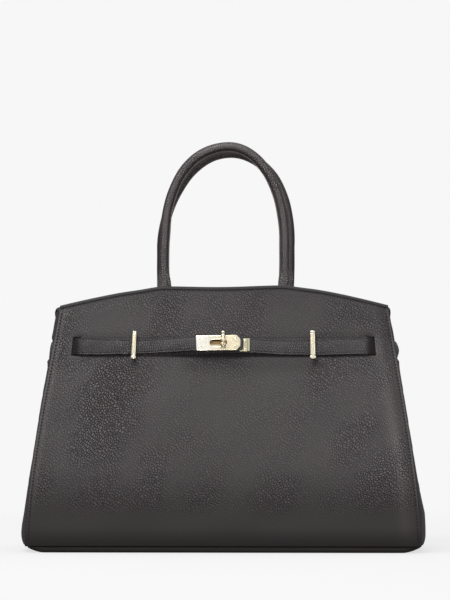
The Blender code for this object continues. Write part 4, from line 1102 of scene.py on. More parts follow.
def base_skin(name, replaces, finish, slot, levels, outline, underside, gloom):
    """A plate between two levels. Its outline is given as inset, clearance at the ends, where the ends
    begin, and how far across the gussets they follow them."""
    near = 1 - MM * np.array([12, 6, 3.4, 2.6, 2.0, 1.5, 1.0, 0.6, 0.3, 0.1, 0]) / 0.072
    parts = np.concatenate([-near[::-1], np.linspace(-0.8, 0.8, 13), near])
    low, high = levels
    points, faces = shell(base_rows(low, *outline, underside, parts), base_rows(high, *outline, False, parts))
    sheet = points[:, :2] + points[:, 2:] * np.array([1.0, -1.0])
    # the last argument paints shade evenly over the whole plate
    masks = {"calm": np.full(len(points), 0.6), "shade": np.full(len(points), gloom)}
    make_piece(name, points, faces, finish, "bag", replaces, slot, sheet, masks)


leather_outline = (0.0008, 0.0026, BASE_FLAT, 0.93)
cloth_outline = (LEATHER + 0.0008, LEATHER + 0.0014, 0.1498, 1.04)
leather_levels, cloth_levels = (0.0, BASE_TOP), (0.0085, 0.0097)
# the base leather is painted in full shade, as it lies in shadow under the bag
base_skin(
    "base_leather", ["base_panel"], bag_leather, "black_leather", leather_levels, leather_outline, True, 1.0
)
base_skin("base_cloth", ["lining_base"], lining_cloth, "taupe_cloth", cloth_levels, cloth_outline, False, 0.0)

# %% Linings and boards
POCKET_OPENING = (0.0865, 0.0070)
CLOTH_HALF_WIDTH = 0.160
GUSSET_INSIDE = BOARD_INSET + LINING


def face_cloth(name, side):
    """The cloth inside the front or back. The back one has a window behind the zip's welt."""
    window_x, window_up = POCKET_OPENING
    u = runs((-1, 1, 0.02))
    if side == BACK:
        u = with_lines(u, np.array([-window_x, window_x]) / CLOTH_HALF_WIDTH, 0.008)
    top = (top_edge(u * TOP_HALF_WIDTH) - BINDING_TOP - GAP)[None, :]
    levels = runs((INNER_FOOT, 0.160, 0.005), (0.160, 0.178, 0.0020), (0.178, 0.205, 0.0045))
    z = fanned(levels, top, 6)
    x = u * (half_width(z) - LAYER_TRIM)
    slack = 0.0006 * np.sin(37 * x + 9 * z) * np.sin(29 * z - 5)
    slack *= soft_step(top - z, 0.004, 0.03) * soft_step(z, 0.012, 0.04)
    slack *= soft_step(np.abs(z - POCKET_HEIGHT), 0.012, 0.03)
    outer = face_point(side, x, z, LINING_INSET)
    inner = face_point(side, x, z, INSIDE + np.abs(slack))
    kept = None
    if side == BACK:
        kept = (np.abs(middles(x)) >= window_x) | (np.abs(middles(z) - POCKET_HEIGHT) >= window_up)
    points, faces = shell(outer, inner, kept)
    lining = "lining_" + name.replace("_cloth", "")
    make_piece(name, points, faces, lining_cloth, "bag", [lining], "taupe_cloth", sheet=both_sides(x, z))


def gusset_cloth(name, side):
    """The cloth inside a gusset."""
    t = np.linspace(-1, 1, 41)
    z = gusset_rows(INNER_FOOT, t)
    t = t + 0 * z
    points, faces = shell(gusset_point(side, t, z, BOARD_INSET), gusset_point(side, t, z, GUSSET_INSIDE))
    lining = "lining_" + name.replace("_cloth", "")
    sheet = both_sides(t * gusset_half_depth(z), z)
    make_piece(name, points, faces, lining_cloth, "bag", [lining], "taupe_cloth", sheet=sheet)


face_cloth("front_cloth", FRONT)
face_cloth("back_cloth", BACK)
gusset_cloth("left_cloth", LEFT)
gusset_cloth("right_cloth", RIGHT)


def finish_node(name, finish):
    """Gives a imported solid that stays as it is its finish."""
    obj = nodes[name]
    for index in range(len(obj.material_slots)):
        obj.material_slots[index].link = "OBJECT"
        obj.material_slots[index].material = finish


for name in ("front_board", "back_board", "base_board"):
    finish_node(name, board)
print("boards finished")

# %% [markdown]
# ## Bound edges
#
# The top edges are folded into a narrow strip of smooth leather. Its section is a hook: it climbs the
# outside, rolls over the top and ends inside. The strip is thicker in the middle of its wall than at its
# edges, which gives it the soft highlight of a turned edge.

# %% Bindings
def hook_section(inside, steps=9):
    """(inset, drop) points of a folded strip: outer wall, round top, inner wall, and back inside it."""
    wall, tall = BINDING_WALL, BINDING_HEIGHT
    outside, within = -GAP - wall, inside + GAP + wall
    bend, ease, hair = 0.0022, 0.00025, 0.00005
    turn = np.linspace(0, math.pi / 2, steps)
    left = [(outside + bend * (1 - math.cos(a)), bend * (1 - math.sin(a))) for a in turn]
    right = [(within - bend * (1 - math.sin(a)), bend * (1 - math.cos(a))) for a in turn]
    outer = [(outside + wall * 0.75, tall), (outside + ease, tall - hair), (outside, tall - ease)] + left
    inner = right + [(within, tall - ease), (within - ease, tall - hair), (within - wall * 0.75, tall)]
    hollow = [(within - wall, tall - ease), (within - wall, BINDING_TOP)]
    hollow += [(-GAP, BINDING_TOP), (-GAP, tall - ease)]
    return np.array(outer + inner + hollow)


def bound_edge(name, rings):
    """A folded strip from its rings, with painted shade along the lower edge of its outer wall."""
    points, faces = tube(rings)
    count = rings.shape[1] + 1
    shade = np.tile(np.concatenate([[0.2, 0.1], np.zeros(count - 3), [0.9]]), len(rings))
    masks = {"calm": np.full(len(points), 0.2), "shade": shade}
    binding = "binding_" + name.replace("_edge", "")
    make_piece(name, points, faces, edge_leather, "bag", [binding], "black_leather", tube_sheet(rings), masks)


def face_edge(name, side):
    """The strip over the front's or the back's top edge."""
    u = runs((-1, -0.36, 0.02), (-0.36, 0.36, 0.03), (0.36, 1, 0.02))[:, None]
    inset, drop = hook_section(INSIDE).T
    x = u * TOP_HALF_WIDTH
    z = top_edge(x) + top_wave(side, x) - drop[None, :]
    bound_edge(name, face_point(side, x + 0 * z, z, inset[None, :] + 0 * z))


def gusset_edge(name, side):
    """The strip over a gusset's top edge."""
    t = np.linspace(-1, 1, 49)[:, None]
    inset, drop = hook_section(GUSSET_INSIDE).T
    z = gusset_top(t) - drop[None, :]
    bound_edge(name, gusset_point(side, t + 0 * z, z, inset[None, :] + 0 * z))


face_edge("front_edge", FRONT)
face_edge("back_edge", BACK)
gusset_edge("left_edge", LEFT)
gusset_edge("right_edge", RIGHT)

# %% [markdown]
# ## Rolled handles
#
# A rolled handle is a cord wrapped in a strip of leather, whose two edges meet and are stitched along the
# inner side of the arch. It starts flat between the layers at the mouth, rounds up over a few centimetres
# and stands as a narrow arch. One path and one changing section make it in a single piece, with the raised
# seam as part of the section. Where the handle leaves the bag the leather bends when the handle folds.

# %% Handles
HANDLE_RADIUS, HANDLE_Y, PIVOT_HEIGHT = 0.0043, 0.0255, 0.256
TAB_TOP = 0.2507
TAB_DEPTH, TAB_WIDTH, TAB_THICK = 0.046, 0.022, 0.003
HANDLES = {FRONT: (0.0579, 0.040, 0.090), BACK: (0.0629, 0.038, 0.091)}
# how far each arch leans to the right at these shares of its half span
LEAN_PLACES = [-1, -0.97, -0.88, -0.77, -0.64, -0.46, -0.24, 0, 0.24, 0.46, 0.64, 0.77, 0.88, 0.97, 1]
LEANS = {
    FRONT: MM * np.array([0, 0.3, 0, -0.4, -0.4, 0, 2.0, 3.9, 3.5, 2.6, 2.1, 1.4, 0.8, 0.2, 0]),
    BACK: MM * np.array([0, 1.2, 2.7, 3.6, 4.0, 4.2, 4.4, 4.4, 4.5, 4.6, 4.6, 3.8, 2.6, 1.2, 0]),
}
# soft bends in the legs: left or right leg, height over the pivot, half length and shift sideways
BOWS = {
    FRONT: [(-1, 0.0464, 0.0115, 0.00085), (-1, -0.0084, 0.0120, 0.00090)],
    BACK: [(1, -0.0084, 0.0100, -0.00090)],
}


def handle_path(side, half_span, leg, arch):
    """The handle's middle line from left to right as (x, z, way x, way z): up through the tab and the
    leg, round the arch and down again. z is measured from the pivot. Both arches lean to the right."""
    rise = runs((-TAB_DEPTH - 0.0053, 0.0, 0.0016), (0.0, leg, 0.0016))
    up = np.stack([np.full(len(rise), -half_span), rise], -1)
    angle = np.radians(np.linspace(180, 0, 131))[1:-1]
    arc = smoothed(np.interp(np.cos(angle), LEAN_PLACES, LEANS[side]), angle, 0.10)
    curve = np.stack([half_span * np.cos(angle) + arc, leg + arch * np.sin(angle)], -1)
    line = np.concatenate([up, curve, up[::-1] * np.array([-1, 1])])
    for which, height, width, shift in BOWS[side]:
        line[:, 0] += shift * bell(line[:, 1] - height, width) * (np.sign(line[:, 0]) == which)
    way = np.gradient(line, axis=0)
    return np.concatenate([line, way / np.linalg.norm(way, axis=1, keepdims=True)], 1)


def handle_section(side, x, z):
    """Half thicknesses across and through the handle at each station. It is round above the mouth, and
    below it spreads into a flat tab that lies against the lining."""
    drop = np.clip(TAB_TOP - (PIVOT_HEIGHT + z), 0.0, TAB_DEPTH)
    part = soft_step(drop, 0.0, 0.015)
    wide = HANDLE_RADIUS + (TAB_WIDTH / 2 - HANDLE_RADIUS) * part
    wide *= 1 - 0.25 * soft_step(drop, 0.038, TAB_DEPTH)
    thick = HANDLE_RADIUS + (TAB_THICK / 2 - HANDLE_RADIUS) * part
    level = PIVOT_HEIGHT + z
    wall = np.abs(face_point(side, x, level, INSIDE + GAP)[:, 1]) - TAB_THICK / 2 - GAP
    return wide, thick, HANDLE_Y * (1 - part) + wall * part, part


def rolled_handle(name, side, half_span, leg, arch, replaces):
    """One handle, from the foot of its left tab to the foot of its right one. Returns its rings."""
    line = handle_path(side, half_span, leg, arch)
    x, z, way_x, way_z = line.T
    run = along(line[:, :2])
    wide, thick, depth, flat = handle_section(side, x, z)
    around = 72
    turn = np.arange(around) * 2 * math.pi / around
    across, beside = squared_circle(turn, (1 - 0.5 * flat)[:, None])
    round_part = (1 - flat)[:, None]
    seam = np.angle(np.exp(1j * turn))[None, :]
    relief = 0.00105 * bell(seam, 0.14) - 0.00030 * (bell(seam - 0.36, 0.10) + bell(seam + 0.36, 0.10))
    fade = soft_step(z, 0.004, 0.016)[:, None]
    flare = 0.0021 * (1 - soft_step(z, -0.004, 0.017)) * soft_step(z, -0.016, -0.006)
    uneven = 0.00012 * np.sin(run[:, None] * 160 + 2 * turn) * np.sin(run[:, None] * 61 + 1.3 * side)
    swell = (relief * fade + uneven) * round_part
    inner_side = np.clip(np.cos(turn), 0, 1)[None, :] ** 2
    reach = wide[:, None] * across + swell * np.cos(turn) + (flare[:, None] * inner_side)
    through = thick[:, None] * beside + swell * np.sin(turn)
    # way turned a quarter clockwise points to the inner side of the arch
    rings = np.stack([
        x[:, None] + reach * way_z[:, None],
        side * depth[:, None] + through,
        PIVOT_HEIGHT + z[:, None] - reach * way_x[:, None],
    ], -1)
    ends = np.concatenate([rings[:1], rings, rings[-1:]])
    for index in (0, -1):
        ends[index] = rings[index].mean(0) + (rings[index] - rings[index].mean(0)) * 0.5
    points, faces = tube(ends)
    # painted shade in the grooves beside the seam and on the flanks, as the light falls on them, and a
    # painted highlight along the seam
    groove = bell(seam - 0.34, 0.13) + bell(seam + 0.34, 0.13)
    inner, outer, lit = (0.75, 0.80, 0.35) if side == FRONT else (0.25, 0.85, 0.12)
    flanks = np.where(np.cos(turn) > 0, inner, outer) * soft_step(np.abs(np.cos(turn)), lit, lit + 0.38)
    flanks = flanks * (1 - bell(seam, 0.3))
    # painted shadow where the front handle keeps the light from the back one, except on the right
    hidden = 0.85 * bell(seam + math.pi / 2, 0.5) * (1 - soft_step(x, 0.030, 0.045))[:, None] * (side == BACK)
    shade = np.clip((0.5 * groove + flanks + hidden) * fade * round_part, 0, 1)
    shade = np.concatenate([shade[:1], shade, shade[-1:]])
    shade = np.concatenate([shade, shade[:, :1]], 1)
    wear = np.tile(np.concatenate([bell(seam + 0.10, 0.22), [[1.0]]], 1), (len(shade), 1))
    masks = {"shade": shade, "calm": 0.15 * shade, "wear": wear}
    sheet = tube_sheet(ends)
    obj = make_piece(name, points, faces, handle_leather, None, replaces, "black_leather", sheet, masks)
    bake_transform(obj)
    return rings


handle_rings = {}
for side, word in ((FRONT, "front"), (BACK, "back")):
    solids = [f"handle_{word}", f"handle_tab_{word}_left", f"handle_tab_{word}_right"]
    handle_rings[side] = rolled_handle(f"{word}_handle_leather", side, *HANDLES[side], solids)

# %% [markdown]
# ## The belt
#
# Two straps come out of the slits and meet at the lock, the left one on top. Each is a thick strip with
# rounded edges and a pressed line for its stitches. Its middle line dives into the slit, rests on the
# panel, and climbs at the lock over the plate beneath. That line is smoothed, because thick leather can't
# turn a sharp corner, and it shows small ripples where it is bent hardest, close to the slit.

# %% Straps
STRAP_THICK, STRAP_ROUND = 0.0024, 0.0008
STRAP_HALF, STRAP_HALF_AT_SLIT = 0.0072, 0.0083
STITCH_INSET = 0.0016
SLOT_LEFT, SLOT_RIGHT, SLOT_WALL, SLOT_MARGIN = -0.0124, 0.0034, 0.0032, 0.0004


def edge_drop(x):
    """How far the face falls away from the flat frame of the belt."""
    return float(half_depth(0.0, BELT_HEIGHT) - half_depth(x, BELT_HEIGHT))


def strap_line(stations, tip_round, tip_half):
    """A strap's places as distance from the bag's middle, underside, half height, middle line and
    distance from the tip. It is worked out from its stations and ends in a rounded tip."""
    known = np.array(stations)[::-1]
    distance = runs((known[0, 0], known[-1, 0], 0.0011), (known[0, 0], known[0, 0] + 0.009, 0.0004))
    plain = [np.interp(distance, known[:, 0], known[:, column]) for column in (1, 2, 3)]
    low, half, middle = (smoothed(values, distance, 0.0022) for values in plain)
    tip = known[0, 0]
    left = np.clip(1 - (distance - tip) / tip_round, 0, 1)
    half = half - (half[0] - tip_half) * (1 - np.sqrt(1 - left**2.2))
    return distance, low, half, middle, distance - tip


# stations from the tail to the tip: distance from the middle, underside, half height and middle line
TAIL_LOW = -0.0034
tail_lows = [(distance, TAIL_LOW - edge_drop(distance)) for distance in (0.1530, 0.1478)]
tail_lows += [(0.1430, TAIL_LOW), (0.1395, -0.0009)]
tail = [(distance, low, STRAP_HALF_AT_SLIT, 0.0) for distance, low in tail_lows]
left_stations = tail + [
    (0.1368, 0.0006, 0.0082, -0.0003),
    (0.1310, 0.0005, 0.0082, -0.0005),
    (0.1181, 0.0004, 0.0079, -0.0008),
    (0.0980, 0.0004, 0.0074, -0.0008),
    (0.0740, 0.0004, 0.0071, -0.0006),
    (0.0600, 0.0010, 0.0070, 0.0),
    (0.0460, 0.0023, 0.0071, 0.0005),
    (0.0341, 0.0042, STRAP_HALF, 0.0010),
    (0.0259, 0.0055, STRAP_HALF, 0.00125),
    (0.0, 0.0056, STRAP_HALF, 0.00125),
    (-0.0189, 0.0055, STRAP_HALF, 0.00125),
]
right_stations = tail + [
    (0.1368, 0.0006, 0.0082, 0.0),
    (0.1310, 0.0005, 0.0080, -0.0002),
    (0.1181, 0.0004, 0.0078, -0.0006),
    (0.0980, 0.0004, 0.0080, -0.0012),
    (0.0740, 0.0004, 0.0076, -0.0016),
    (0.0579, 0.0005, 0.0072, -0.0018),
    (0.0420, 0.0010, 0.0070, -0.0010),
    (0.0301, 0.0015, 0.0070, -0.0003),
    (0.0220, 0.0016, STRAP_HALF, 0.0),
    (-0.0170, 0.0016, STRAP_HALF, 0.0),
]


def belt_strap(name, side, stations, tip_round, tip_half, opening):
    """One strap. The opening says which places are cut out of it. Returns the function of its seams."""
    distance, low, half, middle, to_tip = strap_line(stations, tip_round, tip_half)
    edge = MM * np.array([0, 0.08, 0.2, 0.38, 0.6, 0.85, 1.1, 1.35, 1.6, 1.85, 2.1, 2.4, 2.8]) / STRAP_HALF
    share = np.concatenate([-1 + edge, np.linspace(-0.5, 0.5, 15), 1 - edge[::-1]])[None, :]
    run, up = distance[:, None], share * half[:, None]
    from_edge = half[:, None] - np.abs(up)
    x, level = side * run + 0 * up, middle[:, None] + up
    thick = STRAP_THICK - 0.0008 * soft_step(distance, 0.1375, 0.1430)
    relief = -rounding(from_edge, STRAP_ROUND) - 0.00026 * bell(from_edge - STITCH_INSET, 0.00042)
    relief += 0.00028 * bell(share, 0.62) - rounding(to_tip[:, None], STRAP_ROUND)
    ripples = bell(run - 0.1330, 0.0085) * np.sin(up * 3900 + 0.9 * np.sin(run * 700))
    relief += 0.00016 * ripples * bell(share, 0.7)
    relief += 0.00012 * np.sin(run * 210 + up * 260 + side) * bell(share, 0.8)
    outer = on_belt.at(x, level, low[:, None] + thick[:, None] + relief)
    inner = on_belt.at(x, level, low[:, None] + 0.6 * rounding(from_edge, STRAP_ROUND))
    points, faces = shell(outer, inner, ~opening(middles(x), middles(level)))
    # towards the slit both straps get painted shade, the left one more so, and the right one a painted
    # highlight; the lower rim and the upper stitch line get painted highlights, the upper edge painted shade
    near, far, dull, shine = (0.1315, 0.1425, 0.24, 0.0) if side == LEFT else (0.1332, 0.1385, 0.06, 0.2)
    shade = 0.3 * bell(from_edge - STITCH_INSET, 0.0005)
    shade += 0.7 * bell(from_edge - 0.0002, 0.0005) * (share > 0)
    shade = np.clip(shade + soft_step(run, near, far) + dull * soft_step(run, 0.100, 0.120), 0, 1)
    wear = 0.9 * bell(from_edge - 0.0007, 0.0006) * (share < 0)
    wear += 0.5 * bell(from_edge - STITCH_INSET, 0.0006) * (share > 0)
    wear += 0.16 * bell(run - 0.060, 0.024) + shine * bell(run - 0.128, 0.008)
    masks = outer_masks(0.8, shade=shade) | outer_masks(0.0, wear=wear)
    masks["calm"] = np.full(len(points), 0.1)
    solid = "belt_" + name.replace("_strap", "")
    sheet = both_sides(run + 0 * up, up)
    make_piece(name, points, faces, strap_leather, "bag", [solid], "black_leather", sheet, masks)

    def seam(bound, near, far):
        """The stitch line at one edge, between two distances from the middle."""
        keep = (distance > near) & (distance < far)
        offset = bound * (half - STITCH_INSET)
        height = low + thick - 0.00022
        line = on_belt.at(side * distance, middle + offset, height)[keep]
        return line, np.tile(on_belt.out, (len(line), 1))

    return seam


def slot_cut(x, up):
    """The left strap is cut out under the slot of its plate, a little wider than the slot: places that
    are nearer than the slot's half width and a margin to the slot's middle line."""
    nearest = np.clip(x, SLOT_LEFT + SLOT_WALL, SLOT_RIGHT - SLOT_WALL)
    return np.hypot(x - nearest, up - LOCK_UP) < SLOT_WALL + SLOT_MARGIN


def bush_cut(x, up):
    """The right strap has a round hole for the bush."""
    return np.hypot(x, up - LOCK_UP) < STRAP_HOLE


left_seam = belt_strap("left_strap", LEFT, left_stations, 0.0055, 0.0036, slot_cut)
right_seam = belt_strap("right_strap", RIGHT, right_stations, 0.0030, 0.0048, bush_cut)

# %% [markdown]
# The belt goes on round the sides. Each section is a strip that follows its gusset, thickest along its
# middle line and thin where it is sewn into the seams.

# %% Side sections of the belt
BAND_MIDDLE, BAND_REACH = BAND_HEIGHT - 0.0005, BAND_HALF - 0.0006
BAND_THICK, BAND_LEAST = {LEFT: 0.0019, RIGHT: 0.0024}, 0.0010


def band_height(side, t, share):
    """Thickness of a section: thinner towards the seams, and with a rounded back over a thin edge."""
    thick = BAND_LEAST + (BAND_THICK[side] - BAND_LEAST) * np.clip((1 - np.abs(t)) / 0.25, 0, 1)
    return thick * (0.06 + 0.94 * np.clip(1 - share**2, 0, 1) ** 0.8)


def side_band(name, side):
    """One section of the belt over its gusset."""
    t = np.sin(np.linspace(-math.pi / 2, math.pi / 2, 49)) * 0.985
    edge = np.array([0, 0.02, 0.05, 0.09, 0.14, 0.19, 0.24, 0.30, 0.4])
    share = np.concatenate([-1 + edge, np.linspace(-0.48, 0.48, 9), 1 - edge[::-1]])[:, None]
    z = BAND_MIDDLE + share * BAND_REACH + 0 * t
    t = t + 0 * z
    from_edge = (1 - np.abs(share)) * BAND_REACH
    height = band_height(side, t, share) - 0.00025 * bell(from_edge - STITCH_INSET, 0.0004)
    points, faces = shell(gusset_point(side, t, z, -GAP - height), gusset_point(side, t, z, -GAP))
    # painted shade along the stitch grooves and at the edges
    groove = 0.6 * bell(from_edge - STITCH_INSET, 0.0005) + 0.5 * bell(from_edge, 0.0004) + 0 * t
    masks = outer_masks(1.0, shade=groove)
    masks["calm"] = np.full(len(points), 0.15)
    solid = "side_belt_" + name.replace("_band", "")
    sheet = both_sides(t * gusset_half_depth(z), z)
    make_piece(name, points, faces, strap_leather, "bag", [solid], "black_leather", sheet, masks)


side_band("left_band", LEFT)
side_band("right_band", RIGHT)

# %% [markdown]
# ## The lock and the keepers
#
# The lock is a slotted plate, riveted to the left strap, over a second plate on the right strap. The
# lever stands across the slot. The slotted plate is a band of rings: the first ones follow the slot's
# outline and the others the plate's own outline, with the height changing at the rims. Rays from the slot
# find the matching points of the outer edge, corners included.

# %% The slotted plate
PLATE_LEFT, PLATE_RIGHT, PLATE_HALF, PLATE_CHAMFER = -0.0255, 0.0163, 0.0073, 0.0035
PLATE_MIDDLE = 0.00125
PLATE_HIGH, PLATE_THICK = 0.0093, 0.0011
PLATE_TILT = math.radians(0.9)


def tilted(x, up):
    """Turned a little about the lock, as the plate sits in the photograph."""
    c, s = math.cos(PLATE_TILT), math.sin(PLATE_TILT)
    return x * c - (up - LOCK_UP) * s, LOCK_UP + x * s + (up - LOCK_UP) * c


def plate_corners():
    """The plate's outline: eased corners on the left, and corners cut off slantwise on the right."""
    cut, ease, side_ease = PLATE_CHAMFER, 0.0007, 0.0008
    half = np.array([
        (PLATE_LEFT, PLATE_HALF - ease),
        (PLATE_LEFT + ease, PLATE_HALF),
        (PLATE_RIGHT - cut, PLATE_HALF),
        (PLATE_RIGHT - side_ease, PLATE_HALF - cut + side_ease),
        (PLATE_RIGHT, PLATE_HALF - cut - 0.0006),
    ])
    return np.concatenate([half * [1, -1], half[::-1]]) + [0, PLATE_MIDDLE]


def slot_and_edge():
    """Matching points round the slot and round the plate, with the ray between them."""
    corners = plate_corners()
    right = np.array([SLOT_RIGHT - SLOT_WALL, LOCK_UP])
    left = np.array([SLOT_LEFT + SLOT_WALL, LOCK_UP])
    starts, rays = [], []
    halves = ((right, -90, corners[:, 0] > right[0]), (left, 90, corners[:, 0] < left[0]))
    for centre, first, chosen in halves:
        away = corners[chosen] - centre
        bearing = (np.degrees(np.arctan2(away[:, 1], away[:, 0])) - first) % 360
        turn = np.sort(np.concatenate([np.linspace(0, 180, 25)[1:-1], bearing]))
        turn = np.radians(np.concatenate([[0], turn, [180]]) + first)
        starts.append(np.repeat(centre[None], len(turn), 0))
        rays.append(np.stack([np.cos(turn), np.sin(turn)], -1))
    starts, rays = np.concatenate(starts), np.concatenate(rays)
    ahead = np.roll(corners, -1, axis=0) - corners
    gap = corners[None] - starts[:, None]
    across = rays[:, None, 0] * ahead[None, :, 1] - rays[:, None, 1] * ahead[None, :, 0]
    across = np.where(np.abs(across) < 1e-12, 1e-12, across)
    reach = (gap[..., 0] * ahead[None, :, 1] - gap[..., 1] * ahead[None, :, 0]) / across
    part = (gap[..., 0] * rays[:, None, 1] - gap[..., 1] * rays[:, None, 0]) / across
    reach = np.where((part > -1e-6) & (part < 1 + 1e-6) & (reach > 0), reach, np.inf).min(1)
    return starts, rays, starts + rays * reach[:, None]


def ring_loop(rings):
    """A closed skin through rings whose last one joins the first, as on a torus."""
    rows, columns = rings.shape[:2]
    number = np.arange(rows * columns).reshape(rows, columns)
    below, right = np.roll(number, -1, 0), np.roll(number, -1, 1)
    faces = np.stack([number, right, np.roll(below, -1, 1), below], -1).reshape(-1, 4)
    return rings.reshape(-1, 3), [faces]


def metal_piece(name, skin, finish, solids, body="bag", masks=None, crisp=50):
    """A gilt piece from the points and faces of its skin."""
    make_piece(name, *skin, finish, body, solids, "gold_metal", masks=masks, crisp=crisp)


starts, rays, outline = slot_and_edge()
EDGE, SLOT = 1, 0
# rings as the outline they follow, distance from it, depth below the plate's face and painted shade
sections = [
    (SLOT, 0.0, PLATE_THICK, 0.85),
    (SLOT, 0.0, 0.0003, 0.6),
    (SLOT, 0.00012, 0.00008, 0.45),
    (SLOT, 0.0004, 0.0, 0.25),
    (SLOT, 0.0009, 0.0, 0.0),
    (EDGE, 0.0010, 0.0, 0.0),
    (EDGE, 0.00045, 0.00001, 0.1),
    (EDGE, 0.0002, 0.00005, 0.3),
    (EDGE, 0.00005, 0.00018, 0.5),
    (EDGE, 0.0, 0.0004, 0.7),
    (EDGE, 0.0, PLATE_THICK, 0.9),
]
plate_rings, plate_shade, plate_highlight = [], [], []
for kind, distance, depth, shade in sections:
    flat = outline - rays * distance if kind == EDGE else starts + rays * (SLOT_WALL + distance)
    plate_rings.append(on_belt.at(*tilted(flat[:, 0], flat[:, 1]), PLATE_HIGH - depth))
    # painted shade along the lower edge, on the slot's upper walls and over the right part, and a painted
    # highlight over the left part
    lower = soft_step(PLATE_MIDDLE - flat[:, 1], 0.0, 0.0060)
    corner = shade * (0.4 + lower * (kind == EDGE) + 0.6 * (kind == SLOT) * (1 - lower))
    plate_shade.append(np.clip(corner + 0.10 * soft_step(flat[:, 0], -0.003, 0.009), 0, 1))
    plate_highlight.append(0.8 * (1 - soft_step(flat[:, 0], -0.020, -0.005)) * (1 - shade))
plate_skin = ring_loop(np.array(plate_rings))
masks = {"shade": np.array(plate_shade), "wear": np.array(plate_highlight)}
metal_piece("slotted_plate", plate_skin, gold, ["belt_plate_over"], masks=masks, crisp=35)

# %% The lower plate
UNDER_LOW, UNDER_HIGH, UNDER_LIP = 0.0043, 0.0052, 0.0008
UNDER_RIGHT, UNDER_HALF, UNDER_MIDDLE = 0.0251, 0.0062, 0.0001

x = runs((-0.0150, 0.0222, 0.0007), (0.0222, 0.0240, 0.00015), (0.0240, UNDER_RIGHT, 0.0001))[:, None]
edge = np.array([0, 0.012, 0.03, 0.06])
share = np.concatenate([-1 + edge, np.linspace(-0.88, 0.88, 23), 1 - edge[::-1]])
half = UNDER_HALF * (0.62 + 0.38 * soft_step(x, 0.0125, 0.0155))
up = UNDER_MIDDLE + share[None, :] * half
x = x + 0 * up
height = UNDER_HIGH + UNDER_LIP * soft_step(x, 0.0228, 0.0233) - rounding(UNDER_RIGHT - x, 0.0004)
height = height - rounding(half - np.abs(up - UNDER_MIDDLE), 0.00025)
solid_part = np.hypot(middles(x), middles(up) - LOCK_UP) > PLATE_HOLE
plate_skin = shell(on_belt.at(x, up, height), on_belt.at(x, up, UNDER_LOW + 0 * x), solid_part)
in_shadow = 0.85 * (1 - soft_step(x, 0.008, 0.012)) * soft_step(up - LOCK_UP, -0.0016, -0.0002)
masks = {"shade": np.tile(in_shadow.ravel(), 2)}
metal_piece("lower_plate", plate_skin, gold_shaded, ["belt_plate_under"], masks=masks, crisp=35)

# %% [markdown]
# Turned parts are profiles swept round an axis that points out of the panel: the rivets with their ring
# groove, and the shaft of the lock. The lever and the keepers are profiles too, but they lie upright, and
# they are flatter from front to back than they are wide.

# %% Rivets, lever and keepers
def turned(profile, x, up, around=24):
    """Rings of (radius, out) pairs round the outward axis at a place on the belt."""
    angle = np.arange(around) * 2 * math.pi / around
    radius, out = np.array(profile).T[:, :, None]
    return on_belt.at(x + radius * np.cos(angle), up + radius * np.sin(angle), out + 0 * angle)


def upright(profile, x, up, out, flat, lean=0.0, power=1.0, around=28):
    """Rings of (height, radius) pairs along an upright axis, never thicker than 2 * flat. The power is
    that of the squared circle."""
    wide, thick = squared_circle(np.arange(around) * 2 * math.pi / around, power)
    height, radius = np.array(profile).T[:, :, None]
    across = radius * wide
    return on_belt.at(
        x + across * math.cos(lean) - height * math.sin(lean),
        up + height * math.cos(lean) + across * math.sin(lean),
        out + np.minimum(radius, flat) * thick,
    )


def joined(*skins):
    """Several closed skins in one piece."""
    points, faces, first = [], [], 0
    for skin_points, skin_faces in skins:
        points.append(skin_points)
        faces += [part + first for part in skin_faces]
        first += len(skin_points)
    return np.concatenate(points), faces


def rivet(x, up, top):
    """A rivet's head with a ring groove round its middle."""
    head = [(0.0007, -0.0020), (0.00135, 0.0), (0.00138, 0.00010), (0.00130, 0.00020), (0.00116, 0.00022)]
    head += [(0.00104, -0.00005), (0.00090, -0.00003), (0.00082, 0.00018)]
    head += [(0.0005, 0.00026), (0.0002, 0.00028)]
    return tube(turned([(radius, top + out) for radius, out in head], x, up))


over_places = [tilted(x, PLATE_MIDDLE + up) for x in (-0.0218, 0.0117) for up in (0.0039, -0.0039)]
rivets = joined(*[rivet(x, up, PLATE_HIGH) for x, up in over_places])
metal_piece("plate_rivets", rivets, gold_bright, [f"belt_rivet_{k}" for k in (1, 2, 3, 4)], crisp=60)
rivets = joined(*[rivet(0.0204, UNDER_MIDDLE + up, UNDER_HIGH) for up in (0.0041, -0.0041)])
metal_piece("lower_rivets", rivets, gold_bright, [f"belt_rivet_{k}" for k in (5, 6)], crisp=60)

LEVER_OUT, LEVER_FLAT = 0.0126, 0.0023
# the lever's lower knob, neck, first drum, groove, second drum, groove and upper knob
lever_profile = MM * np.array([
    (-5.1, 0.3), (-5.0, 1.1), (-4.6, 2.0), (-4.0, 2.65), (-3.2, 3.0), (-2.4, 3.1), (-1.7, 2.95), (-1.2, 2.6),
    (-0.9, 2.1), (-0.75, 1.55), (-0.45, 1.45), (-0.2, 1.7),
    (0.0, 2.0), (0.4, 2.12), (2.2, 2.18), (3.2, 2.12), (3.5, 1.95),
    (3.62, 1.5), (3.8, 1.36), (4.05, 1.5),
    (4.2, 1.95), (4.5, 2.1), (5.8, 2.12), (7.0, 2.02), (7.3, 1.8),
    (7.42, 1.3), (7.65, 1.15), (7.9, 1.3),
    (8.1, 1.7), (8.5, 2.0), (9.2, 2.12), (9.9, 1.85), (10.4, 1.35), (10.7, 0.8), (10.85, 0.3),
])
shaft_profile = MM * np.array([(1.2, -4.9), (1.7, -4.8), (1.7, 9.9), (2.4, 10.1), (2.4, 11.8), (1.6, 13.0)])
shaft = tube(turned(shaft_profile, 0.0, LOCK_UP))
lever = joined(shaft, tube(upright(lever_profile, 0.0, LOCK_UP, LEVER_OUT, LEVER_FLAT)))
height = (lever[0] - on_belt.at(0.0, LOCK_UP, LEVER_OUT)) @ on_belt.up
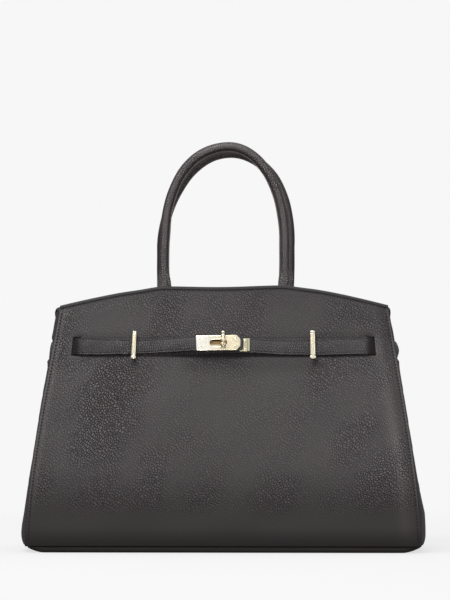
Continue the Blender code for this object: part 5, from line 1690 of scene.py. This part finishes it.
# painted shade in the two grooves, at the neck and round the lower knob
grooves = bell(height - 0.0038, 0.00022) + bell(height - 0.00765, 0.00022)
shade = 0.75 * bell(height + 0.0009, 0.0007) + 0.35 * bell(height + 0.0035, 0.0016) + 0.8 * grooves
metal_piece("lock_lever", lever, gold_bright, ["lock_toggle"], "turn_lock", {"shade": shade})

KEEPER_X, KEEPER_OUT, KEEPER_FLAT = 0.0845, 0.0053, 0.0020


def keeper(name, side, wide, lean):
    """A flattened bar with a cap and a collar, and two posts that hold it to the panel. The profile is
    in millimetres of height and shares of the half width."""
    profile = [
        (-13.8, 0.35), (-13.7, 0.75), (-13.3, 1.08), (-12.7, 1.2), (-11.6, 1.2), (-11.0, 1.12),
        (-10.75, 0.98), (-10.6, 0.84), (-10.3, 0.84), (-10.1, 0.98),
        (-9.5, 1.0), (9.8, 0.96), (10.6, 0.96),
        (10.85, 0.82), (11.2, 0.82), (11.4, 0.98), (12.5, 1.02), (13.1, 0.92), (13.5, 0.65), (13.65, 0.3),
    ]
    profile = [(height * MM, radius * wide) for height, radius in profile]
    x = side * KEEPER_X
    bar = tube(upright(profile, x, 0.0, KEEPER_OUT, KEEPER_FLAT, lean, 0.72))
    posts = [tube(turned([(0.0015, -0.0021), (0.0015, KEEPER_OUT)], x, up, 16)) for up in (-0.0112, 0.0112)]
    metal_piece(name, joined(bar, *posts), gold, ["keeper_" + name.replace("_keeper", "")])


keeper("left_keeper", LEFT, 0.0023, math.radians(-2.0))
keeper("right_keeper", RIGHT, 0.0027, math.radians(0.8))
for name in ("lock_bush", "lock_clip", "keeper_washer_left", "keeper_washer_right"):
    finish_node(name, gold)
print("metal made")

# %% [markdown]
# ## The zip pocket
#
# Inside the back a leather welt frames a closed zip. The chain is two rows of metal teeth on a cloth
# tape: one tooth is made from twelve points and repeated, every second one on the other side.

# %% Welt, tape and teeth
POCKET_HALF, POCKET_GAP, WELT_HALF, WELT_THICK = 0.084, 0.0039, 0.0095, 0.0010


def oblong(half_x, half_up, radius, steps=6):
    """A rectangle with round corners, always with the same number of points."""
    quarters = []
    for index, (sign_x, sign_up) in enumerate(((1, -1), (1, 1), (-1, 1), (-1, -1))):
        angle = np.radians(np.linspace(-90, 0, steps + 1) + 90 * index)
        centre = np.array([sign_x * (half_x - radius), sign_up * (half_up - radius)])
        quarters.append(centre + radius * np.stack([np.cos(angle), np.sin(angle)], -1))
    return np.concatenate(quarters)


# rings of the welt from its outer edge to the zip: half length, half height, corner radius and rise; the
# fifth one is the groove of its stitches
STITCH_RING = (0.0872, WELT_HALF - 0.0018, 0.0026, WELT_THICK - 0.0002)
welt_sections = [
    (0.0890, WELT_HALF, 0.0040, 0.0),
    (0.0890, WELT_HALF, 0.0040, 0.0005),
    (0.0887, WELT_HALF - 0.0003, 0.0038, 0.0009),
    (0.0882, WELT_HALF - 0.0008, 0.0034, WELT_THICK),
    STITCH_RING,
    (0.0862, WELT_HALF - 0.0030, 0.0020, WELT_THICK),
    (0.0846, POCKET_GAP + 0.0006, 0.0008, WELT_THICK),
    (0.0841, POCKET_GAP + 0.0001, 0.0006, 0.0006),
    (POCKET_HALF, POCKET_GAP, 0.0006, 0.0),
]
welt_rings = []
for half_x, half_up, radius, rise in welt_sections:
    flat = oblong(half_x, half_up, radius)
    welt_rings.append(on_pocket.at(flat[:, 0], flat[:, 1], GAP + rise))
points, faces = ring_loop(np.array(welt_rings))
sheet = points[:, [0, 2]]
make_piece("pocket_frame", points, faces, bag_leather, "bag", ["pocket_welt"], "black_leather", sheet)

x = np.linspace(-0.0837, 0.0837, 60)[:, None]
up = np.linspace(-0.0042, 0.0042, 15)[None, :]
rise = -0.0002 + 0.0006 * bell(up, 0.0016) + 0 * x
x, up = x + 0 * up, up + 0 * x
points, faces = shell(on_pocket.at(x, up, rise), on_pocket.at(x, up, -0.0010))
make_piece("zip_cloth", points, faces, tape_cloth, "bag", ["zip_tape"], "black_leather", both_sides(x, up))


def zip_teeth(pitch=0.0015):
    """Teeth along the zip, each a tapering block that reaches just over the middle line."""
    count = int(0.166 // pitch)
    along_zip = (np.arange(count) - (count - 1) / 2) * pitch
    side = np.where(np.arange(count) % 2 == 0, 1.0, -1.0)
    ups = MM * np.array([-0.35, 0.5, 1.7])
    halves = MM * np.array([0.36, 0.50, 0.42])
    highs = MM * np.array([0.75, 1.0, 0.8])
    corners = np.array([(-1, 0), (1, 0), (1, 1), (-1, 1)])
    block_x = (halves[:, None] * corners[None, :, 0]).ravel()
    block_up = np.repeat(ups, 4)
    block_out = (highs[:, None] * corners[None, :, 1]).ravel() + 0.0001
    points = on_pocket.at(along_zip[:, None] + block_x, side[:, None] * block_up, block_out)
    block = np.concatenate([ring_cells(3, 4), [(0, 1, 2, 3), (8, 9, 10, 11)]])
    return points.reshape(-1, 3), [(block[None] + 12 * np.arange(count)[:, None, None]).reshape(-1, 4)]


metal_piece("zip_teeth", zip_teeth(), gold, (), crisp=30)
for name in ("zip_slider", "zip_pull"):
    finish_node(name, gold_bright)
print("pocket made")

# %% [markdown]
# ## Sewing
#
# Every seam that a saddler would sew gets its thread: both edges of the front and back, the belt and its
# side sections, the handles and the pocket's welt.

# %% Stitches
SEAM_THREAD = {"pitch": 0.0031, "length": 0.0019, "thick": 0.0012}
BELT_THREAD = {"pitch": 0.0027, "length": 0.0020, "thick": 0.00050}
HANDLE_THREAD = {"pitch": 0.0026, "length": 0.0019, "thick": 0.00048}
POCKET_THREAD = {"pitch": 0.0028, "length": 0.0020, "thick": 0.00050}


def face_seam(side, sign):
    """Down one side of the front or back, a little in from the edge."""
    z = runs((0.0125, 0.2265, 0.0012))
    x = sign * (half_width(z) - SEAM_STITCH)
    top = top_edge(x) + top_wave(side, x)

    def surface(across, level):
        return face_point(side, across, level, -face_relief(side, across, level, top))

    line, normal = surface_line(surface, x, z)
    return line, normal * np.sign(normal[:, 1] * side)[:, None]


side_lines = [face_seam(side, sign) for side in (FRONT, BACK) for sign in (LEFT, RIGHT)]
stitched("side_stitches", side_lines, "bag", **SEAM_THREAD)
belt_lines = [left_seam(bound, -0.0150, 0.1352) for bound in (-1, 1)]
belt_lines += [right_seam(bound, 0.0265, 0.1352) for bound in (-1, 1)]
stitched("belt_stitches", belt_lines, "bag", **BELT_THREAD)


def band_seam(side, bound):
    """Along one edge of a side section of the belt."""
    t = np.linspace(-0.93, 0.93, 120)
    z = BAND_MIDDLE + bound * (BAND_REACH - STITCH_INSET) + 0 * t

    def surface(at, level):
        height = band_height(side, at, (level - BAND_MIDDLE) / BAND_REACH)
        return gusset_point(side, at, level, -GAP - height + 0.0002)

    line, normal = surface_line(surface, t, z)
    return line, normal * np.sign(normal[:, 0] * side)[:, None]


band_lines = [band_seam(side, bound) for side in (LEFT, RIGHT) for bound in (-1, 1)]
stitched("band_stitches", band_lines, "bag", **BELT_THREAD)


def handle_lines(side):
    """Both sides of the raised seam, from the rings of the handle itself."""
    rings = handle_rings[side]
    centre = rings.mean(1)
    high = rings[:, 0, 2] > PIVOT_HEIGHT + 0.012
    lines = []
    for column in (4, -4):
        line = rings[high, column]
        outward = line - centre[high]
        lines.append((line, outward / np.linalg.norm(outward, axis=1, keepdims=True)))
    return lines


stitched("front_handle_stitches", handle_lines(FRONT), "front_handle", **HANDLE_THREAD)
stitched("back_handle_stitches", handle_lines(BACK), "back_handle", **HANDLE_THREAD)

*ring, ring_rise = STITCH_RING
corners = oblong(*ring)
corners = np.concatenate([corners, corners[:1]])
fine = np.linspace(0, len(corners) - 1, 600)
x, up = (np.interp(fine, np.arange(len(corners)), corners[:, k]) for k in (0, 1))
line = on_pocket.at(x, up, GAP + ring_rise)
stitched("pocket_stitches", [(line, np.tile(on_pocket.out, (len(line), 1)))], "bag", **POCKET_THREAD)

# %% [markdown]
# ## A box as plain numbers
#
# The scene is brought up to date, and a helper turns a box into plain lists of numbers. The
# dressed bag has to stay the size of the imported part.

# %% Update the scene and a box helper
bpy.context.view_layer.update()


def plain(box):
    """A box as plain lists of numbers."""
    return [[float(value) for value in corner] for corner in box]
